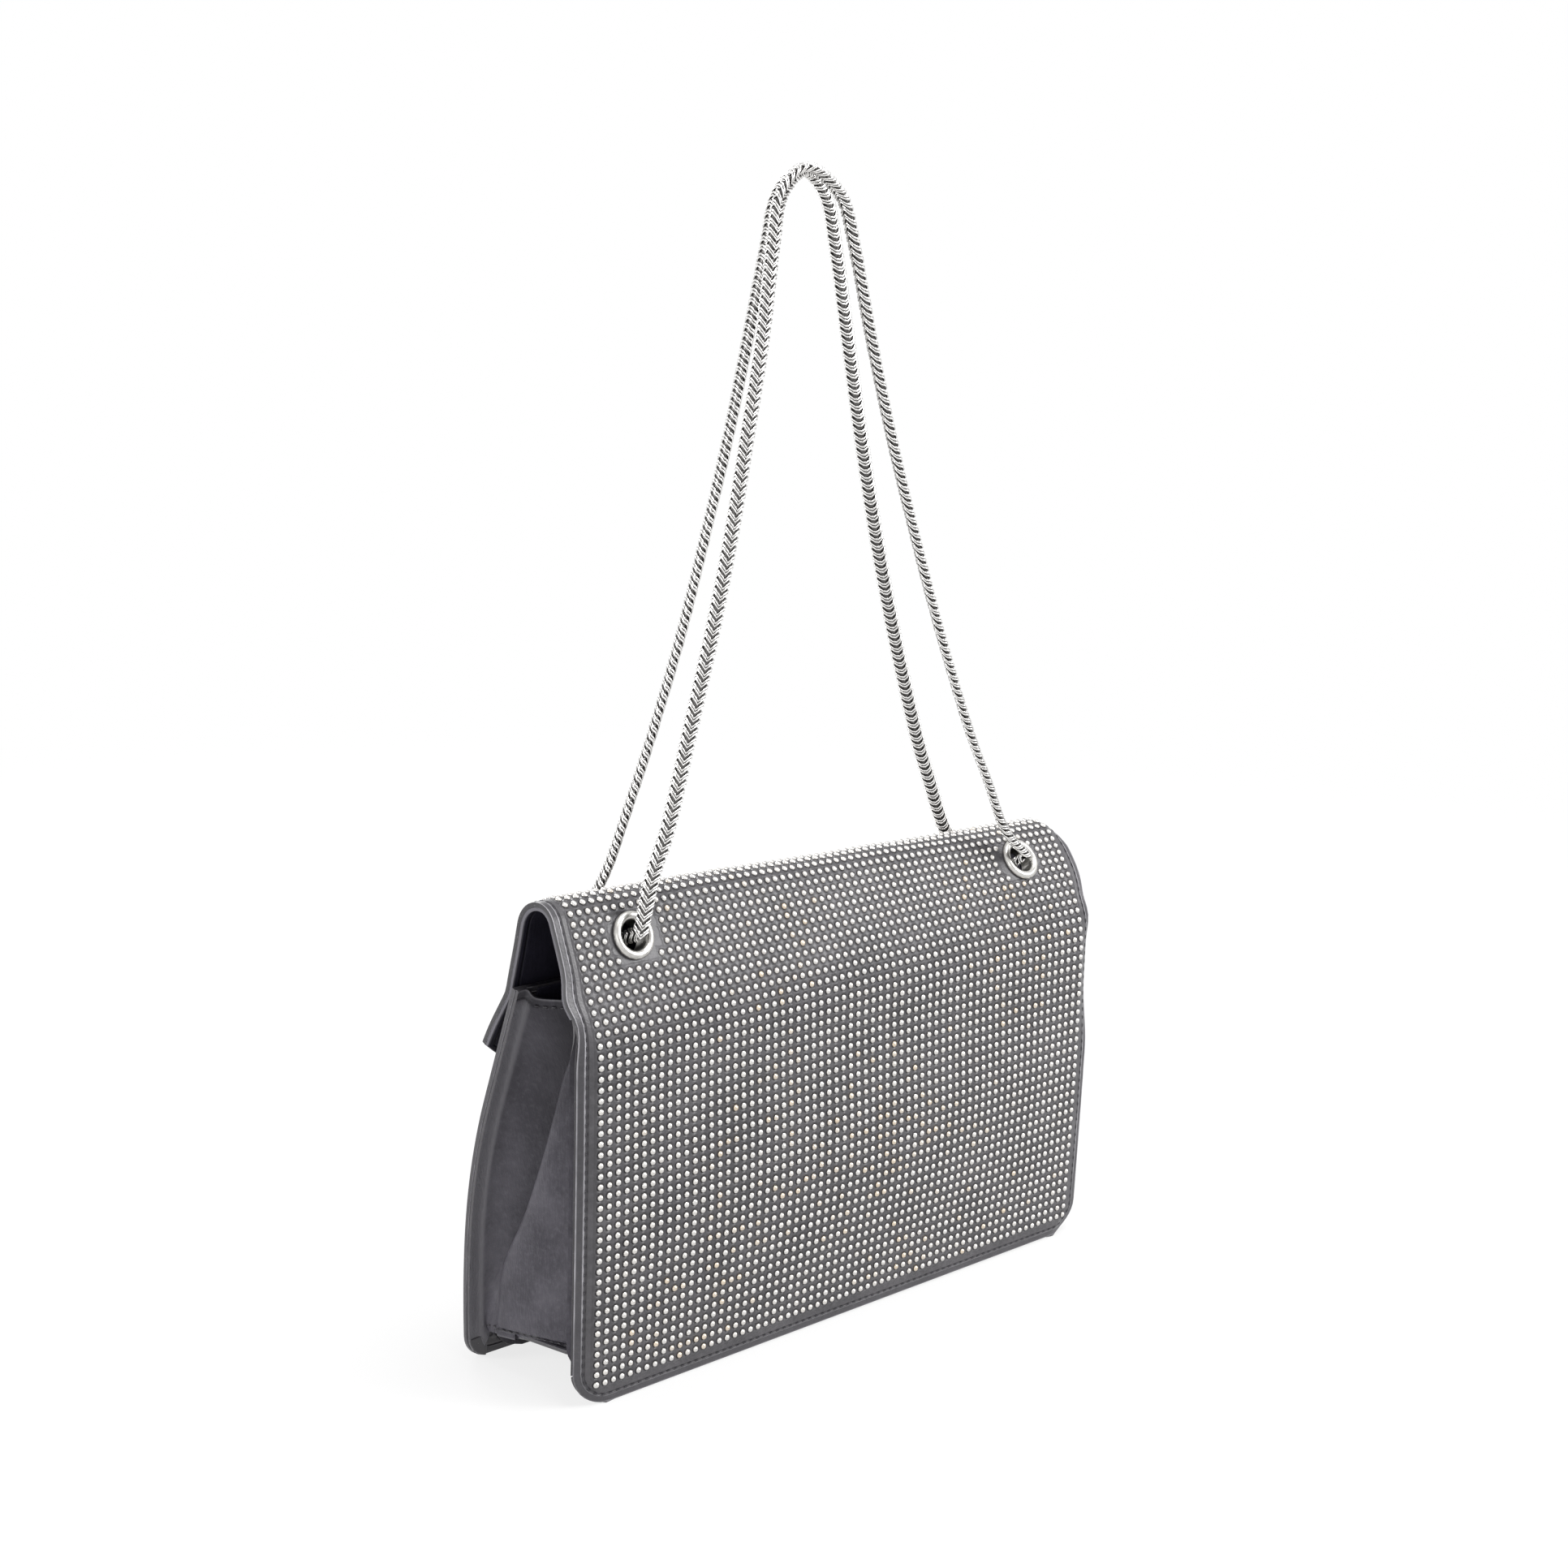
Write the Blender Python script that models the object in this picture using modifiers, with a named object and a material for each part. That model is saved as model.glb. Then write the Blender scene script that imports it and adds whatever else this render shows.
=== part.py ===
# Leather shoulder bag with a fold-over flap, side gussets and a chain strap.
#
# World frame: metres, +Z up, the bag stands on Z = 0 and its front looks along -Y.
# Side views are drawn in depth (from the back panel towards the front) and height.

import math

import bmesh
import bpy
from mathutils import Matrix, Vector

# Leather and fits
leather = 0.0018
lining = 0.0008
gusset_leather = 0.0012
base_leather = 0.0015
fit_gap = 0.0003

# Panels; the stuffed back panel's side margins bend towards the front
back_half_width = 0.138
front_overhang = 0.003
front_taper = 0.0015
back_corner_radius = 0.013
front_corner_radius = 0.009
margin_width = 0.0078
margin_bend = 0.004
margin_bend_power_share = 1.5
back_straight = 0.127
fold_bend_radius = 0.054
back_swell = 0.003
front_swell = 0.0025
lining_margin = 0.010

# Flap and its arch over the mouth
back_lean = math.radians(21.8)
back_leg = 0.0342
crest_back_radius = 0.0097
crest_front_radius = 0.013
front_lean = math.radians(13.5)
front_leg = 0.0256
lip_radius = 0.012
lip_flare = math.radians(34.0)
flare_run = 0.010
tip_run = 0.014
flap_sweep = 0.052
flap_closing = math.radians(33.0)

# The arch slumps towards the bag's -X end
crest_sag = 0.0075
crest_shift = 0.003

# Front panel, from its foot upwards
foot_lean = math.radians(4.0)
belly_run = 0.045
belly_turn = math.radians(7.0)
slope_run = 0.062
slope_turn = math.radians(16.5)
mouth_run = 0.048
mouth_clearance = 0.0022

# Base strip, folded up between the two feet
base_flange = 0.008
base_bend_radius = 0.010
base_fall = math.radians(5.0)
base_inset = 0.004
base_flange_inset = 0.001
squeeze_height = 0.016

# Gussets
flange_width = 0.006
flange_turn = 0.0016
flange_foot = 0.0105
flange_gap = 0.0005
gusset_top_drop = 0.0015
gusset_front_drop = 0.0008
gusset_seam_rise = 0.0008
ridge_inset = 0.0042
ridge_round = 0.0033
crease_inset = 0.018
front_fold_inset = 0.011
ridge_low_share = 0.78
ridge_high_share = 0.15
crease_back_share = 0.8

# Eyelets, one pair behind the crest and one in front of it
eyelet_from_side = 0.033
eyelet_from_crest = 0.0095
eyelet_hole_radius = 0.0056
eyelet_outer_radius = 0.009
eyelet_rim_height = 0.0021
eyelet_wall = 0.0008
eyelet_curl = 0.0006
washer_radius = 0.0084
washer_thickness = 0.0007
washer_gap = 0.0008

# Chain strap
chain_radius = 0.0026
strap_standoff = 0.0048
strap_top = 0.441
strap_apex_depth = 0.026
strap_pair_gap = 0.0008
run_dip = 0.006
strap_points = 72
run_points = 14

# Snap closure and inner pocket
snap_radius = 0.009
snap_socket_height = 0.003
snap_from_edge = 0.017
snap_stem_radius = 0.002
backing_radius = 0.008
backing_thickness = 0.0008
pocket_leather = 0.001
pocket_width = 0.120
pocket_height = 0.070
pocket_floor = 0.050

# How finely curved pieces are divided
bend_step = math.radians(13.0)
flap_row_length = 0.009
panel_columns = 12
flap_columns = 12
round_steps = 28
cut_overrun = 0.004

# Strap outline from the +X eyelet to the -X one: shares of the way out to an eyelet and of the rise
back_strap_shares = [
    (1.0, 0.0), (0.938, 0.075), (0.863, 0.136), (0.753, 0.262), (0.642, 0.389), (0.545, 0.516),
    (0.463, 0.644), (0.383, 0.773), (0.323, 0.901), (0.278, 0.966), (0.15, 1.0),
    (-0.006, 0.967), (-0.068, 0.904), (-0.153, 0.772), (-0.253, 0.636), (-0.373, 0.496),
    (-0.508, 0.352), (-0.67, 0.202), (-0.771, 0.125), (-0.873, 0.045), (-1.0, 0.0),
]
front_strap_shares = [
    (1.0, 0.0), (0.883, 0.064), (0.813, 0.128), (0.688, 0.257), (0.578, 0.387), (0.489, 0.517),
    (0.407, 0.646), (0.34, 0.775), (0.277, 0.902), (0.24, 0.966), (0.12, 1.0),
    (0.003, 0.967), (-0.058, 0.905), (-0.155, 0.774), (-0.256, 0.638), (-0.37, 0.498),
    (-0.505, 0.352), (-0.665, 0.2), (-0.765, 0.121), (-0.879, 0.039), (-1.0, 0.0),
]

# Colour, metallic and roughness of each finish
finishes = {
    "leather": ((0.075, 0.070, 0.082), 0.0, 0.52),
    "lining": ((0.020, 0.019, 0.026), 0.0, 0.80),
    "silver": ((0.80, 0.79, 0.77), 1.0, 0.22),
    "steel": ((0.45, 0.45, 0.46), 1.0, 0.35),
}

quarter_turn = math.pi / 2


def clear_scene():
    for old in list(bpy.data.objects):
        bpy.data.objects.remove(old, do_unlink=True)


def new_collection(name):
    group = bpy.data.collections.new(name)
    bpy.context.scene.collection.children.link(group)
    return group


def finish_material(name, finish):
    colour, metallic, roughness = finishes[finish]
    material = bpy.data.materials.new(name + "_finish")
    material.use_nodes = True
    shader = material.node_tree.nodes["Principled BSDF"]
    shader.inputs["Base Color"].default_value = (*colour, 1.0)
    shader.inputs["Metallic"].default_value = metallic
    shader.inputs["Roughness"].default_value = roughness
    return material


# Side paths: a start and runs of a length and a turn, walked like a pen on paper

def walk(path, distance):
    depth, height, heading, runs = path
    for length, turn in runs:
        step = min(distance, length)
        swing = turn * step / length
        if abs(swing) < bend_step / 1000:
            depth += step * math.cos(heading)
            height += step * math.sin(heading)
        else:
            radius = step / swing
            depth += radius * (math.sin(heading + swing) - math.sin(heading))
            height += radius * (math.cos(heading) - math.cos(heading + swing))
        heading += swing
        distance -= step
        if distance <= 0:
            break
    return depth, height, heading


def path_length(path):
    return sum(length for length, turn in path[3])


def aside(path, distance, shift):
    # the point that lies shift to the left of the path
    depth, height, heading = walk(path, distance)
    return depth - shift * math.sin(heading), height + shift * math.cos(heading)


def distance_at_height(path, low, high, shift, target):
    # between low and high the path only rises or only falls
    rising = aside(path, high, shift)[1] > aside(path, low, shift)[1]
    for halving in range(40):
        middle = (low + high) / 2
        below = aside(path, middle, shift)[1] < target
        if below == rising:
            low = middle
        else:
            high = middle
    return (low + high) / 2


def even_columns(count):
    # places across a piece, from -1 to 1
    return [2 * column / count - 1 for column in range(count + 1)]


def margin_columns(half_width, count):
    # even places across the middle, and closer ones over the two bent margins
    margin_share = margin_width / half_width
    margin = [1 - margin_share * step / 3 for step in range(3)]
    middle = [(1 - margin_share) * across for across in even_columns(count)]
    return [-across for across in margin] + middle + margin[::-1]


def stations_along(path, first, last, longest):
    # one station at each change of run, and more where the path is long or bends
    stations = [first]
    passed = 0.0
    for length, turn in path[3]:
        pieces = max(1, math.ceil(abs(turn) / bend_step), math.ceil(length / longest))
        for piece in range(1, pieces + 1):
            station = passed + length * piece / pieces
            if first + fit_gap < station < last - fit_gap:
                stations.append(station)
        passed += length
    return stations + [last]


front_half_width = back_half_width + front_overhang
eyelet_offset = back_half_width - eyelet_from_side

# The back panel and the flap share one path, from the foot over the crest to the flap's edge
crest_back_run = crest_back_radius * (quarter_turn - back_lean)
crest_front_run = crest_front_radius * (quarter_turn - front_lean)
drop_run = tip_run + flap_sweep
shell_path = (0.0, 0.0, quarter_turn, [
    (back_straight, 0.0),
    (fold_bend_radius * back_lean, -back_lean),
    (back_leg, 0.0),
    (crest_back_run, back_lean - quarter_turn),
    (crest_front_run, front_lean - quarter_turn),
    (front_leg, 0.0),
    (lip_radius * (lip_flare - front_lean), lip_flare - front_lean),
    (flare_run, 0.0),
    (drop_run, -flap_closing),
])
fold_at = back_straight + fold_bend_radius * back_lean
crest_start = fold_at + back_leg
crest_end = crest_start + crest_back_run + crest_front_run
lip_at = crest_end + front_leg
tip_at = path_length(shell_path) - flap_sweep
flap_end = path_length(shell_path)
flap_thickness = leather + fit_gap + lining
flap_half_width = back_half_width
flap_edge_radius = (flap_half_width ** 2 + flap_sweep ** 2) / (2 * flap_sweep)

# The front panel stands so that its top edge tucks in just behind the flap's lining
front_runs = [(belly_run, belly_turn), (slope_run, slope_turn), (mouth_run, 0.0)]
front_from_origin = (0.0, 0.0, quarter_turn - foot_lean, front_runs)
front_length = belly_run + slope_run + mouth_run
mouth_shift, front_top, mouth_heading = walk(front_from_origin, front_length)
lip_distance = distance_at_height(shell_path, crest_end, tip_at, -flap_thickness, front_top)
lip_inside = aside(shell_path, lip_distance, -flap_thickness)[0]
front_foot = lip_inside - mouth_clearance - mouth_shift
front_path = (front_foot, 0.0, quarter_turn - foot_lean, front_runs)

# The base strip rises from the back foot, crosses and comes down inside the front foot
base_turn = quarter_turn + base_fall
front_turn = quarter_turn - base_fall + foot_lean


def make_base_path():
    start = leather + fit_gap
    bend = [
        (base_flange, 0.0),
        (base_bend_radius * base_turn, -base_turn),
        (base_bend_radius * front_turn, -front_turn),
    ]
    depth, height, heading = walk((start, 0.0, quarter_turn, bend), math.inf)
    goal = front_foot - (leather + fit_gap) / math.cos(foot_lean)
    # the level run and the front flange close the gap to the front foot
    flange_rise = math.cos(foot_lean)
    flange_lean = math.sin(foot_lean)
    span = (goal - depth + height * flange_lean / flange_rise)
    level = span / (math.cos(base_fall) + math.sin(base_fall) * flange_lean / flange_rise)
    front_flange = (height - level * math.sin(base_fall)) / flange_rise
    return (start, 0.0, quarter_turn, [
        bend[0], bend[1], (level, 0.0), bend[2], (front_flange, 0.0),
    ])


base_path = make_base_path()
base_length = path_length(base_path)
front_flange_run = base_path[3][-1][0]
base_back_depth = walk(base_path, base_flange + base_bend_radius * base_turn)[0]

# The bag's outline is centred on Y = 0
back_face_y = (walk(shell_path, flap_end)[0] - back_swell) / 2


def world(x, depth, height):
    return Vector((x, back_face_y - depth, height))


def corner_half_width(half, radius, height, inset=0.0):
    # half the panel's width at a height, with round bottom corners
    if height < radius:
        drop = radius - height
        reach = max((radius - inset) ** 2 - drop ** 2, 0.0)
        return half - radius + math.sqrt(reach)
    return half - inset


def back_half(height, inset=0.0):
    return corner_half_width(back_half_width, back_corner_radius, height, inset)


def front_half(height, inset=0.0):
    half = front_half_width - front_taper * height / front_top
    return corner_half_width(half, front_corner_radius, height, inset)


def margin_depth(x, distance):
    # how far the back panel's side margin bends towards the front
    half = back_half(distance)
    into_share = max(0.0, (abs(x) - half) / margin_width + 1)
    left_share = min(1.0, (fold_at - distance) / (fold_at - back_straight))
    fold_ease = left_share ** 2 * (3 - 2 * left_share)
    corner_ease = 1 - (back_half_width - half) / back_corner_radius
    return margin_bend * fold_ease * corner_ease * into_share ** margin_bend_power_share


def margin_stretch(x, distance):
    # a layer's thickness measured straight through the sloping margin
    step = fit_gap
    slope = (margin_depth(abs(x) + step, distance) - margin_depth(abs(x), distance)) / step
    return math.sqrt(1 + slope ** 2)


def shell_at(x, distance):
    # the shell path across the bag: its crest is lower and further forward at one end
    depth, height, heading = walk(shell_path, distance)
    along = (distance - fold_at) / (lip_at - fold_at)
    if 0 < along < 1:
        end_share = (flap_half_width - x) / (2 * flap_half_width)
        angle = math.pi * along
        share = math.sin(angle) ** 3
        slope = 3 * math.sin(angle) ** 2 * math.cos(angle) * math.pi / (lip_at - fold_at)
        ahead = math.cos(heading) + crest_shift * end_share * slope
        rise = math.sin(heading) - crest_sag * end_share * slope
        depth += crest_shift * end_share * share
        height -= crest_sag * end_share * share
        heading = math.atan2(rise, ahead)
    return depth, height, heading


def shell_aside(x, distance, shift):
    depth, height, heading = shell_at(x, distance)
    return depth - shift * math.sin(heading), height + shift * math.cos(heading)


def swell_share(across, along):
    # fullness of a stuffed panel: none at its edges, most in the middle
    level = math.sin(math.pi * min(max(along, 0.0), 1.0)) ** 2
    return level * (1.0 - across ** 2)


def back_point(across, distance, depth_in=0.0, inset=0.0):
    height = walk(shell_path, distance)[1]
    x = across * back_half(height, inset)
    share = swell_share(x / back_half_width, distance / back_straight)
    depth, height = aside(shell_path, distance, back_swell * share - depth_in)
    return world(x, depth + margin_depth(x, distance), height)


def front_point(across, distance, depth_in=0.0, inset=0.0):
    height = walk(front_path, distance)[1]
    x = across * front_half(height, inset)
    share = swell_share(x / front_half_width, distance / front_length)
    depth, height = aside(front_path, distance, depth_in - front_swell * share)
    return world(x, depth, height)


def flap_edge_run(x):
    # how far the flap's lower edge lies past its side corners: one wide arc
    return math.sqrt(flap_edge_radius ** 2 - x ** 2) - (flap_edge_radius - flap_sweep)


def flap_point(across, distance, depth_in=0.0, inset=0.0):
    x = across * (flap_half_width - inset)
    last = tip_at - inset
    if distance > last:
        share = (distance - last) / flap_sweep
        distance = last + share * flap_edge_run(across * flap_half_width)
    return world(x, *shell_aside(x, distance, -depth_in))


# Pieces

def keep(item, group, finish):
    group.objects.link(item)
    item.data.materials.append(finish_material(item.name, finish))
    return item


def sheet(name, group, finish, columns, stations, place, thickness, facing):
    # a grid bent into place as the outer side, thickened behind it
    bm = bmesh.new()
    rows = len(stations) - 1
    cells = len(columns) - 1
    bmesh.ops.create_grid(bm, x_segments=cells, y_segments=rows, size=1)
    for vert in bm.verts:
        column = round((vert.co.x + 1) / 2 * cells)
        row = round((vert.co.y + 1) / 2 * rows)
        vert.co = place(columns[column], stations[row])
    bm.normal_update()
    bm.faces.ensure_lookup_table()
    if bm.faces[0].normal.dot(facing) < 0:
        bmesh.ops.reverse_faces(bm, faces=bm.faces[:])
    mesh = bpy.data.meshes.new(name)
    bm.to_mesh(mesh)
    bm.free()
    mesh.shade_smooth()
    item = keep(bpy.data.objects.new(name, mesh), group, finish)
    solid = item.modifiers.new("thickness", "SOLIDIFY")
    solid.thickness = thickness
    solid.offset = -1
    solid.use_even_offset = True
    return item


def turned(name, group, finish, profile, matrix, closed):
    # a profile of radius and height, spun about the matrix's Z axis
    bm = bmesh.new()
    ring = [bm.verts.new((radius, 0.0, height)) for radius, height in profile]
    for first, second in zip(ring, ring[1:]):
        bm.edges.new((first, second))
    if closed:
        bm.edges.new((ring[-1], ring[0]))
    mesh = bpy.data.meshes.new(name)
    bm.to_mesh(mesh)
    bm.free()
    item = keep(bpy.data.objects.new(name, mesh), group, finish)
    item.matrix_world = matrix
    spin = item.modifiers.new("spin", "SCREW")
    spin.steps = round_steps
    spin.render_steps = round_steps
    spin.use_merge_vertices = True
    spin.merge_threshold = fit_gap / 10
    spin.use_smooth_shade = True
    return item


def tube(name, group, finish, points, radii, sides_resolution):
    curve = bpy.data.curves.new(name, "CURVE")
    curve.dimensions = "3D"
    curve.bevel_depth = chain_radius
    curve.bevel_resolution = sides_resolution
    curve.use_fill_caps = True
    spline = curve.splines.new("POLY")
    spline.points.add(len(points) - 1)
    for knot, point, radius in zip(spline.points, points, radii):
        knot.co = (*point, 1.0)
        knot.radius = radius
    return keep(bpy.data.objects.new(name, curve), group, finish)


def cutter(name, group, places):
    # one guide object that holds a cylinder for each place: matrix, radius, half length
    bm = bmesh.new()
    for matrix, radius, half_length in places:
        bmesh.ops.create_cone(
            bm, cap_ends=True, segments=round_steps, radius1=radius, radius2=radius,
            depth=2 * half_length, matrix=matrix,
        )
    mesh = bpy.data.meshes.new(name)
    bm.to_mesh(mesh)
    bm.free()
    item = bpy.data.objects.new(name, mesh)
    group.objects.link(item)
    item.display_type = "WIRE"
    item.hide_render = True
    return item


def cut(item, tool):
    hole = item.modifiers.new(tool.name, "BOOLEAN")
    hole.operation = "DIFFERENCE"
    hole.solver = "EXACT"
    hole.object = tool


def pivot(name, group, place):
    empty = bpy.data.objects.new(name, None)
    group.objects.link(empty)
    empty.location = place
    bpy.context.view_layer.update()
    return empty


def hang_on(empty, items):
    for item in items:
        item.parent = empty
        item.matrix_parent_inverse = empty.matrix_world.inverted()


# Places

def outward_frame(x, depth, height, heading, turn):
    # a frame whose Z axis points out of the leather: turn is 1 where outside lies left of the path
    normal = Vector((0.0, turn * math.sin(heading), turn * math.cos(heading)))
    sideways = Vector((1.0, 0.0, 0.0))
    ahead = normal.cross(sideways)
    frame = Matrix((sideways, ahead, normal)).transposed().to_4x4()
    frame.translation = world(x, depth, height)
    return frame


def shell_frame(x, distance, shift=0.0):
    return outward_frame(x, *shell_aside(x, distance, shift), shell_at(x, distance)[2], 1)


def front_frame(x, distance, shift=0.0):
    return outward_frame(x, *aside(front_path, distance, -shift), walk(front_path, distance)[2], -1)


eyelet_places = {
    "back_left": (-eyelet_offset, crest_start - eyelet_from_crest),
    "back_right": (eyelet_offset, crest_start - eyelet_from_crest),
    "front_left": (-eyelet_offset, crest_end + eyelet_from_crest),
    "front_right": (eyelet_offset, crest_end + eyelet_from_crest),
}


def eyelet_frame(place):
    x, distance = eyelet_places[place]
    return shell_frame(x, distance)


def strap_axis(row):
    # the strap swings about the line between its two ends, just outside the eyelets' mouths
    mouth = Vector((0.0, 0.0, strap_standoff))
    return eyelet_frame(row + "_left") @ mouth, eyelet_frame(row + "_right") @ mouth


def smooth_route(knots, count):
    # equal steps along a smooth curve through the knots
    padded = [2 * knots[0] - knots[1]] + knots + [2 * knots[-1] - knots[-2]]
    fine = []
    per_piece = 12
    for index in range(1, len(padded) - 2):
        before, start, end, after = padded[index - 1:index + 3]
        for step in range(per_piece):
            t = step / per_piece
            fine.append(0.5 * (
                2 * start + (end - before) * t
                + (2 * before - 5 * start + 4 * end - after) * t ** 2
                + (3 * start - before - 3 * end + after) * t ** 3
            ))
    fine.append(knots[-1])
    travelled = [0.0]
    for first, second in zip(fine, fine[1:]):
        travelled.append(travelled[-1] + (second - first).length)
    route = []
    index = 0
    for step in range(count):
        goal = travelled[-1] * step / (count - 1)
        while index < len(fine) - 2 and travelled[index + 1] < goal:
            index += 1
        share = (goal - travelled[index]) / (travelled[index + 1] - travelled[index])
        route.append(fine[index].lerp(fine[index + 1], min(share, 1.0)))
    return route


def round_end(route, radii):
    # closes the first end of a tube with a ball around its first point
    ball_shares = [0.25, 0.7, 0.92]
    ahead = (route[1] - route[0]).normalized()
    start = route[0]
    caps = []
    sizes = []
    for share in ball_shares:
        caps.append(start - ahead * chain_radius * math.sqrt(1 - share ** 2))
        sizes.append(share)
    return caps + route, sizes + radii


# The build

def corner_rows(radius):
    # closer rows where the outline rounds a bottom corner
    return [radius * (1 - math.cos(quarter_turn * step / 4)) for step in range(4)]


def build_shells(group):
    pieces = {}
    half_seam = fit_gap / 2
    back_last = fold_at - half_seam
    flap_first = fold_at + half_seam
    back_corner = corner_rows(back_corner_radius)
    front_corner = corner_rows(front_corner_radius)
    belly_rows = [back_straight * step / 8 for step in range(1, 8)]
    fold_shares = [0.0, 0.3, 0.6, 0.9]
    fold_rows = [back_straight + (fold_at - back_straight) * share for share in fold_shares]
    fold_rows.append(back_last)
    back_rows = back_corner + belly_rows + fold_rows
    back_columns = margin_columns(back_half_width, panel_columns - 2)
    columns = even_columns(panel_columns)
    pieces["back_panel"] = sheet(
        "back_panel", group, "leather", back_columns, back_rows, back_point, leather, Vector((0, 1, 0)))

    lining_depth = leather + fit_gap
    base_top = base_path[3][0][0] + base_bend_radius

    def back_lining_point(across, distance):
        return back_point(across, distance, lining_depth, lining_margin)

    lining_floor = base_top + lining_depth
    lining_rows = [lining_floor] + [row for row in belly_rows if row > lining_floor + fit_gap] + fold_rows
    pieces["back_lining"] = sheet(
        "back_lining", group, "lining", columns, lining_rows, back_lining_point, lining,
        Vector((0, 1, 0)))

    front_rows = [fit_gap] + front_corner[1:] + [
        front_length * step / 12 for step in range(2, 12)] + [front_length]
    pieces["front_panel"] = sheet(
        "front_panel", group, "leather", columns, front_rows, front_point, leather,
        Vector((0, -1, 0)))

    def front_lining_point(across, distance):
        return front_point(across, distance, lining_depth, lining_margin)

    front_lining_rows = [lining_floor] + [row for row in front_rows if row > lining_floor + fit_gap]
    pieces["front_lining"] = sheet(
        "front_lining", group, "lining", columns, front_lining_rows, front_lining_point, lining,
        Vector((0, -1, 0)))

    edge_rows = [tip_at + flap_sweep * step / 5 for step in range(1, 6)]
    flap_places = margin_columns(flap_half_width, flap_columns)
    flap_rows = stations_along(shell_path, flap_first, tip_at, flap_row_length) + edge_rows
    pieces["flap_leather"] = sheet(
        "flap_leather", group, "leather", flap_places, flap_rows, flap_point, leather,
        Vector((0, 1, 0)))

    def flap_lining_point(across, distance):
        return flap_point(across, distance, lining_depth, leather)

    flap_lining_rows = stations_along(shell_path, flap_first, tip_at - leather, flap_row_length)
    flap_lining_rows += [row - leather for row in edge_rows]
    pieces["flap_lining"] = sheet(
        "flap_lining", group, "lining", flap_places, flap_lining_rows, flap_lining_point, lining,
        Vector((0, 1, 0)))

    def pocket_point(across, distance):
        share = across * pocket_width / 2 / back_half_width
        return back_point(share, distance, lining_depth + lining + fit_gap)

    pocket_rows = [pocket_floor + pocket_height * step / 6 for step in range(7)]
    pieces["slip_pocket"] = sheet(
        "slip_pocket", group, "lining", even_columns(6), pocket_rows, pocket_point, pocket_leather,
        Vector((0, 1, 0)))
    return pieces


def base_half_width(distance, height):
    # the flanges stay inside the bent margins, and the level run between them is wider
    flange = back_half(height) - margin_width - base_flange_inset
    wide = back_half_width - base_inset
    back_share = (distance - base_flange) / (base_bend_radius * base_turn)
    front_share = (base_length - front_flange_run - distance) / (base_bend_radius * front_turn)
    share = min(max(min(back_share, front_share), 0.0), 1.0)
    return flange + (wide - flange) * share ** 5


def build_base(group):
    pieces = {}

    def base_point(across, distance):
        depth, height, heading = walk(base_path, distance)
        return world(across * base_half_width(distance, height), depth, height)

    stations = stations_along(base_path, 0.0, base_length, base_length)
    half_flange = base_flange / 2
    stations = [0.0, half_flange / 2, half_flange] + stations[1:-1]
    stations += [base_length - front_flange_run / 2, base_length]
    pieces["base_panel"] = sheet(
        "base_panel", group, "leather", even_columns(panel_columns), stations, base_point, base_leather,
        Vector((0, 1, 0)))

    lining_shift = fit_gap + lining
    half = back_half_width - crease_inset - lining_margin
    first = base_flange + base_bend_radius * base_turn / 2
    last = base_length - front_flange_run - base_bend_radius * front_turn / 2

    def base_lining_point(across, distance):
        depth, height = aside(base_path, distance, lining_shift)
        return world(across * half, depth, height)

    rows = stations_along(base_path, first, last, base_length)
    pieces["base_lining"] = sheet(
        "base_lining", group, "lining", even_columns(8), rows, base_lining_point, lining, Vector((0, 1, 0)))
    return pieces


def base_height_at(goal_depth):
    # the base strip's upper side at a depth, between its two bends
    low = base_flange
    high = base_length - front_flange_run
    for halving in range(40):
        middle = (low + high) / 2
        if walk(base_path, middle)[0] < goal_depth:
            low = middle
        else:
            high = middle
    return walk(base_path, (low + high) / 2)[1]


def centripetal(knots, index, share):
    # a smooth curve through uneven knots, without loops
    before, start, end, after = knots[index - 1:index + 3]
    times = [0.0]
    for first, second in ((before, start), (start, end), (end, after)):
        times.append(times[-1] + math.sqrt((second - first).length))
    now = times[1] + (times[2] - times[1]) * share

    def between(low_point, high_point, low, high):
        return low_point * ((high - now) / (high - low)) + high_point * ((now - low) / (high - low))

    one = between(before, start, times[0], times[1])
    two = between(start, end, times[1], times[2])
    three = between(end, after, times[2], times[3])
    four = between(one, two, times[0], times[2])
    five = between(two, three, times[1], times[3])
    return between(four, five, times[1], times[2])


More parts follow.
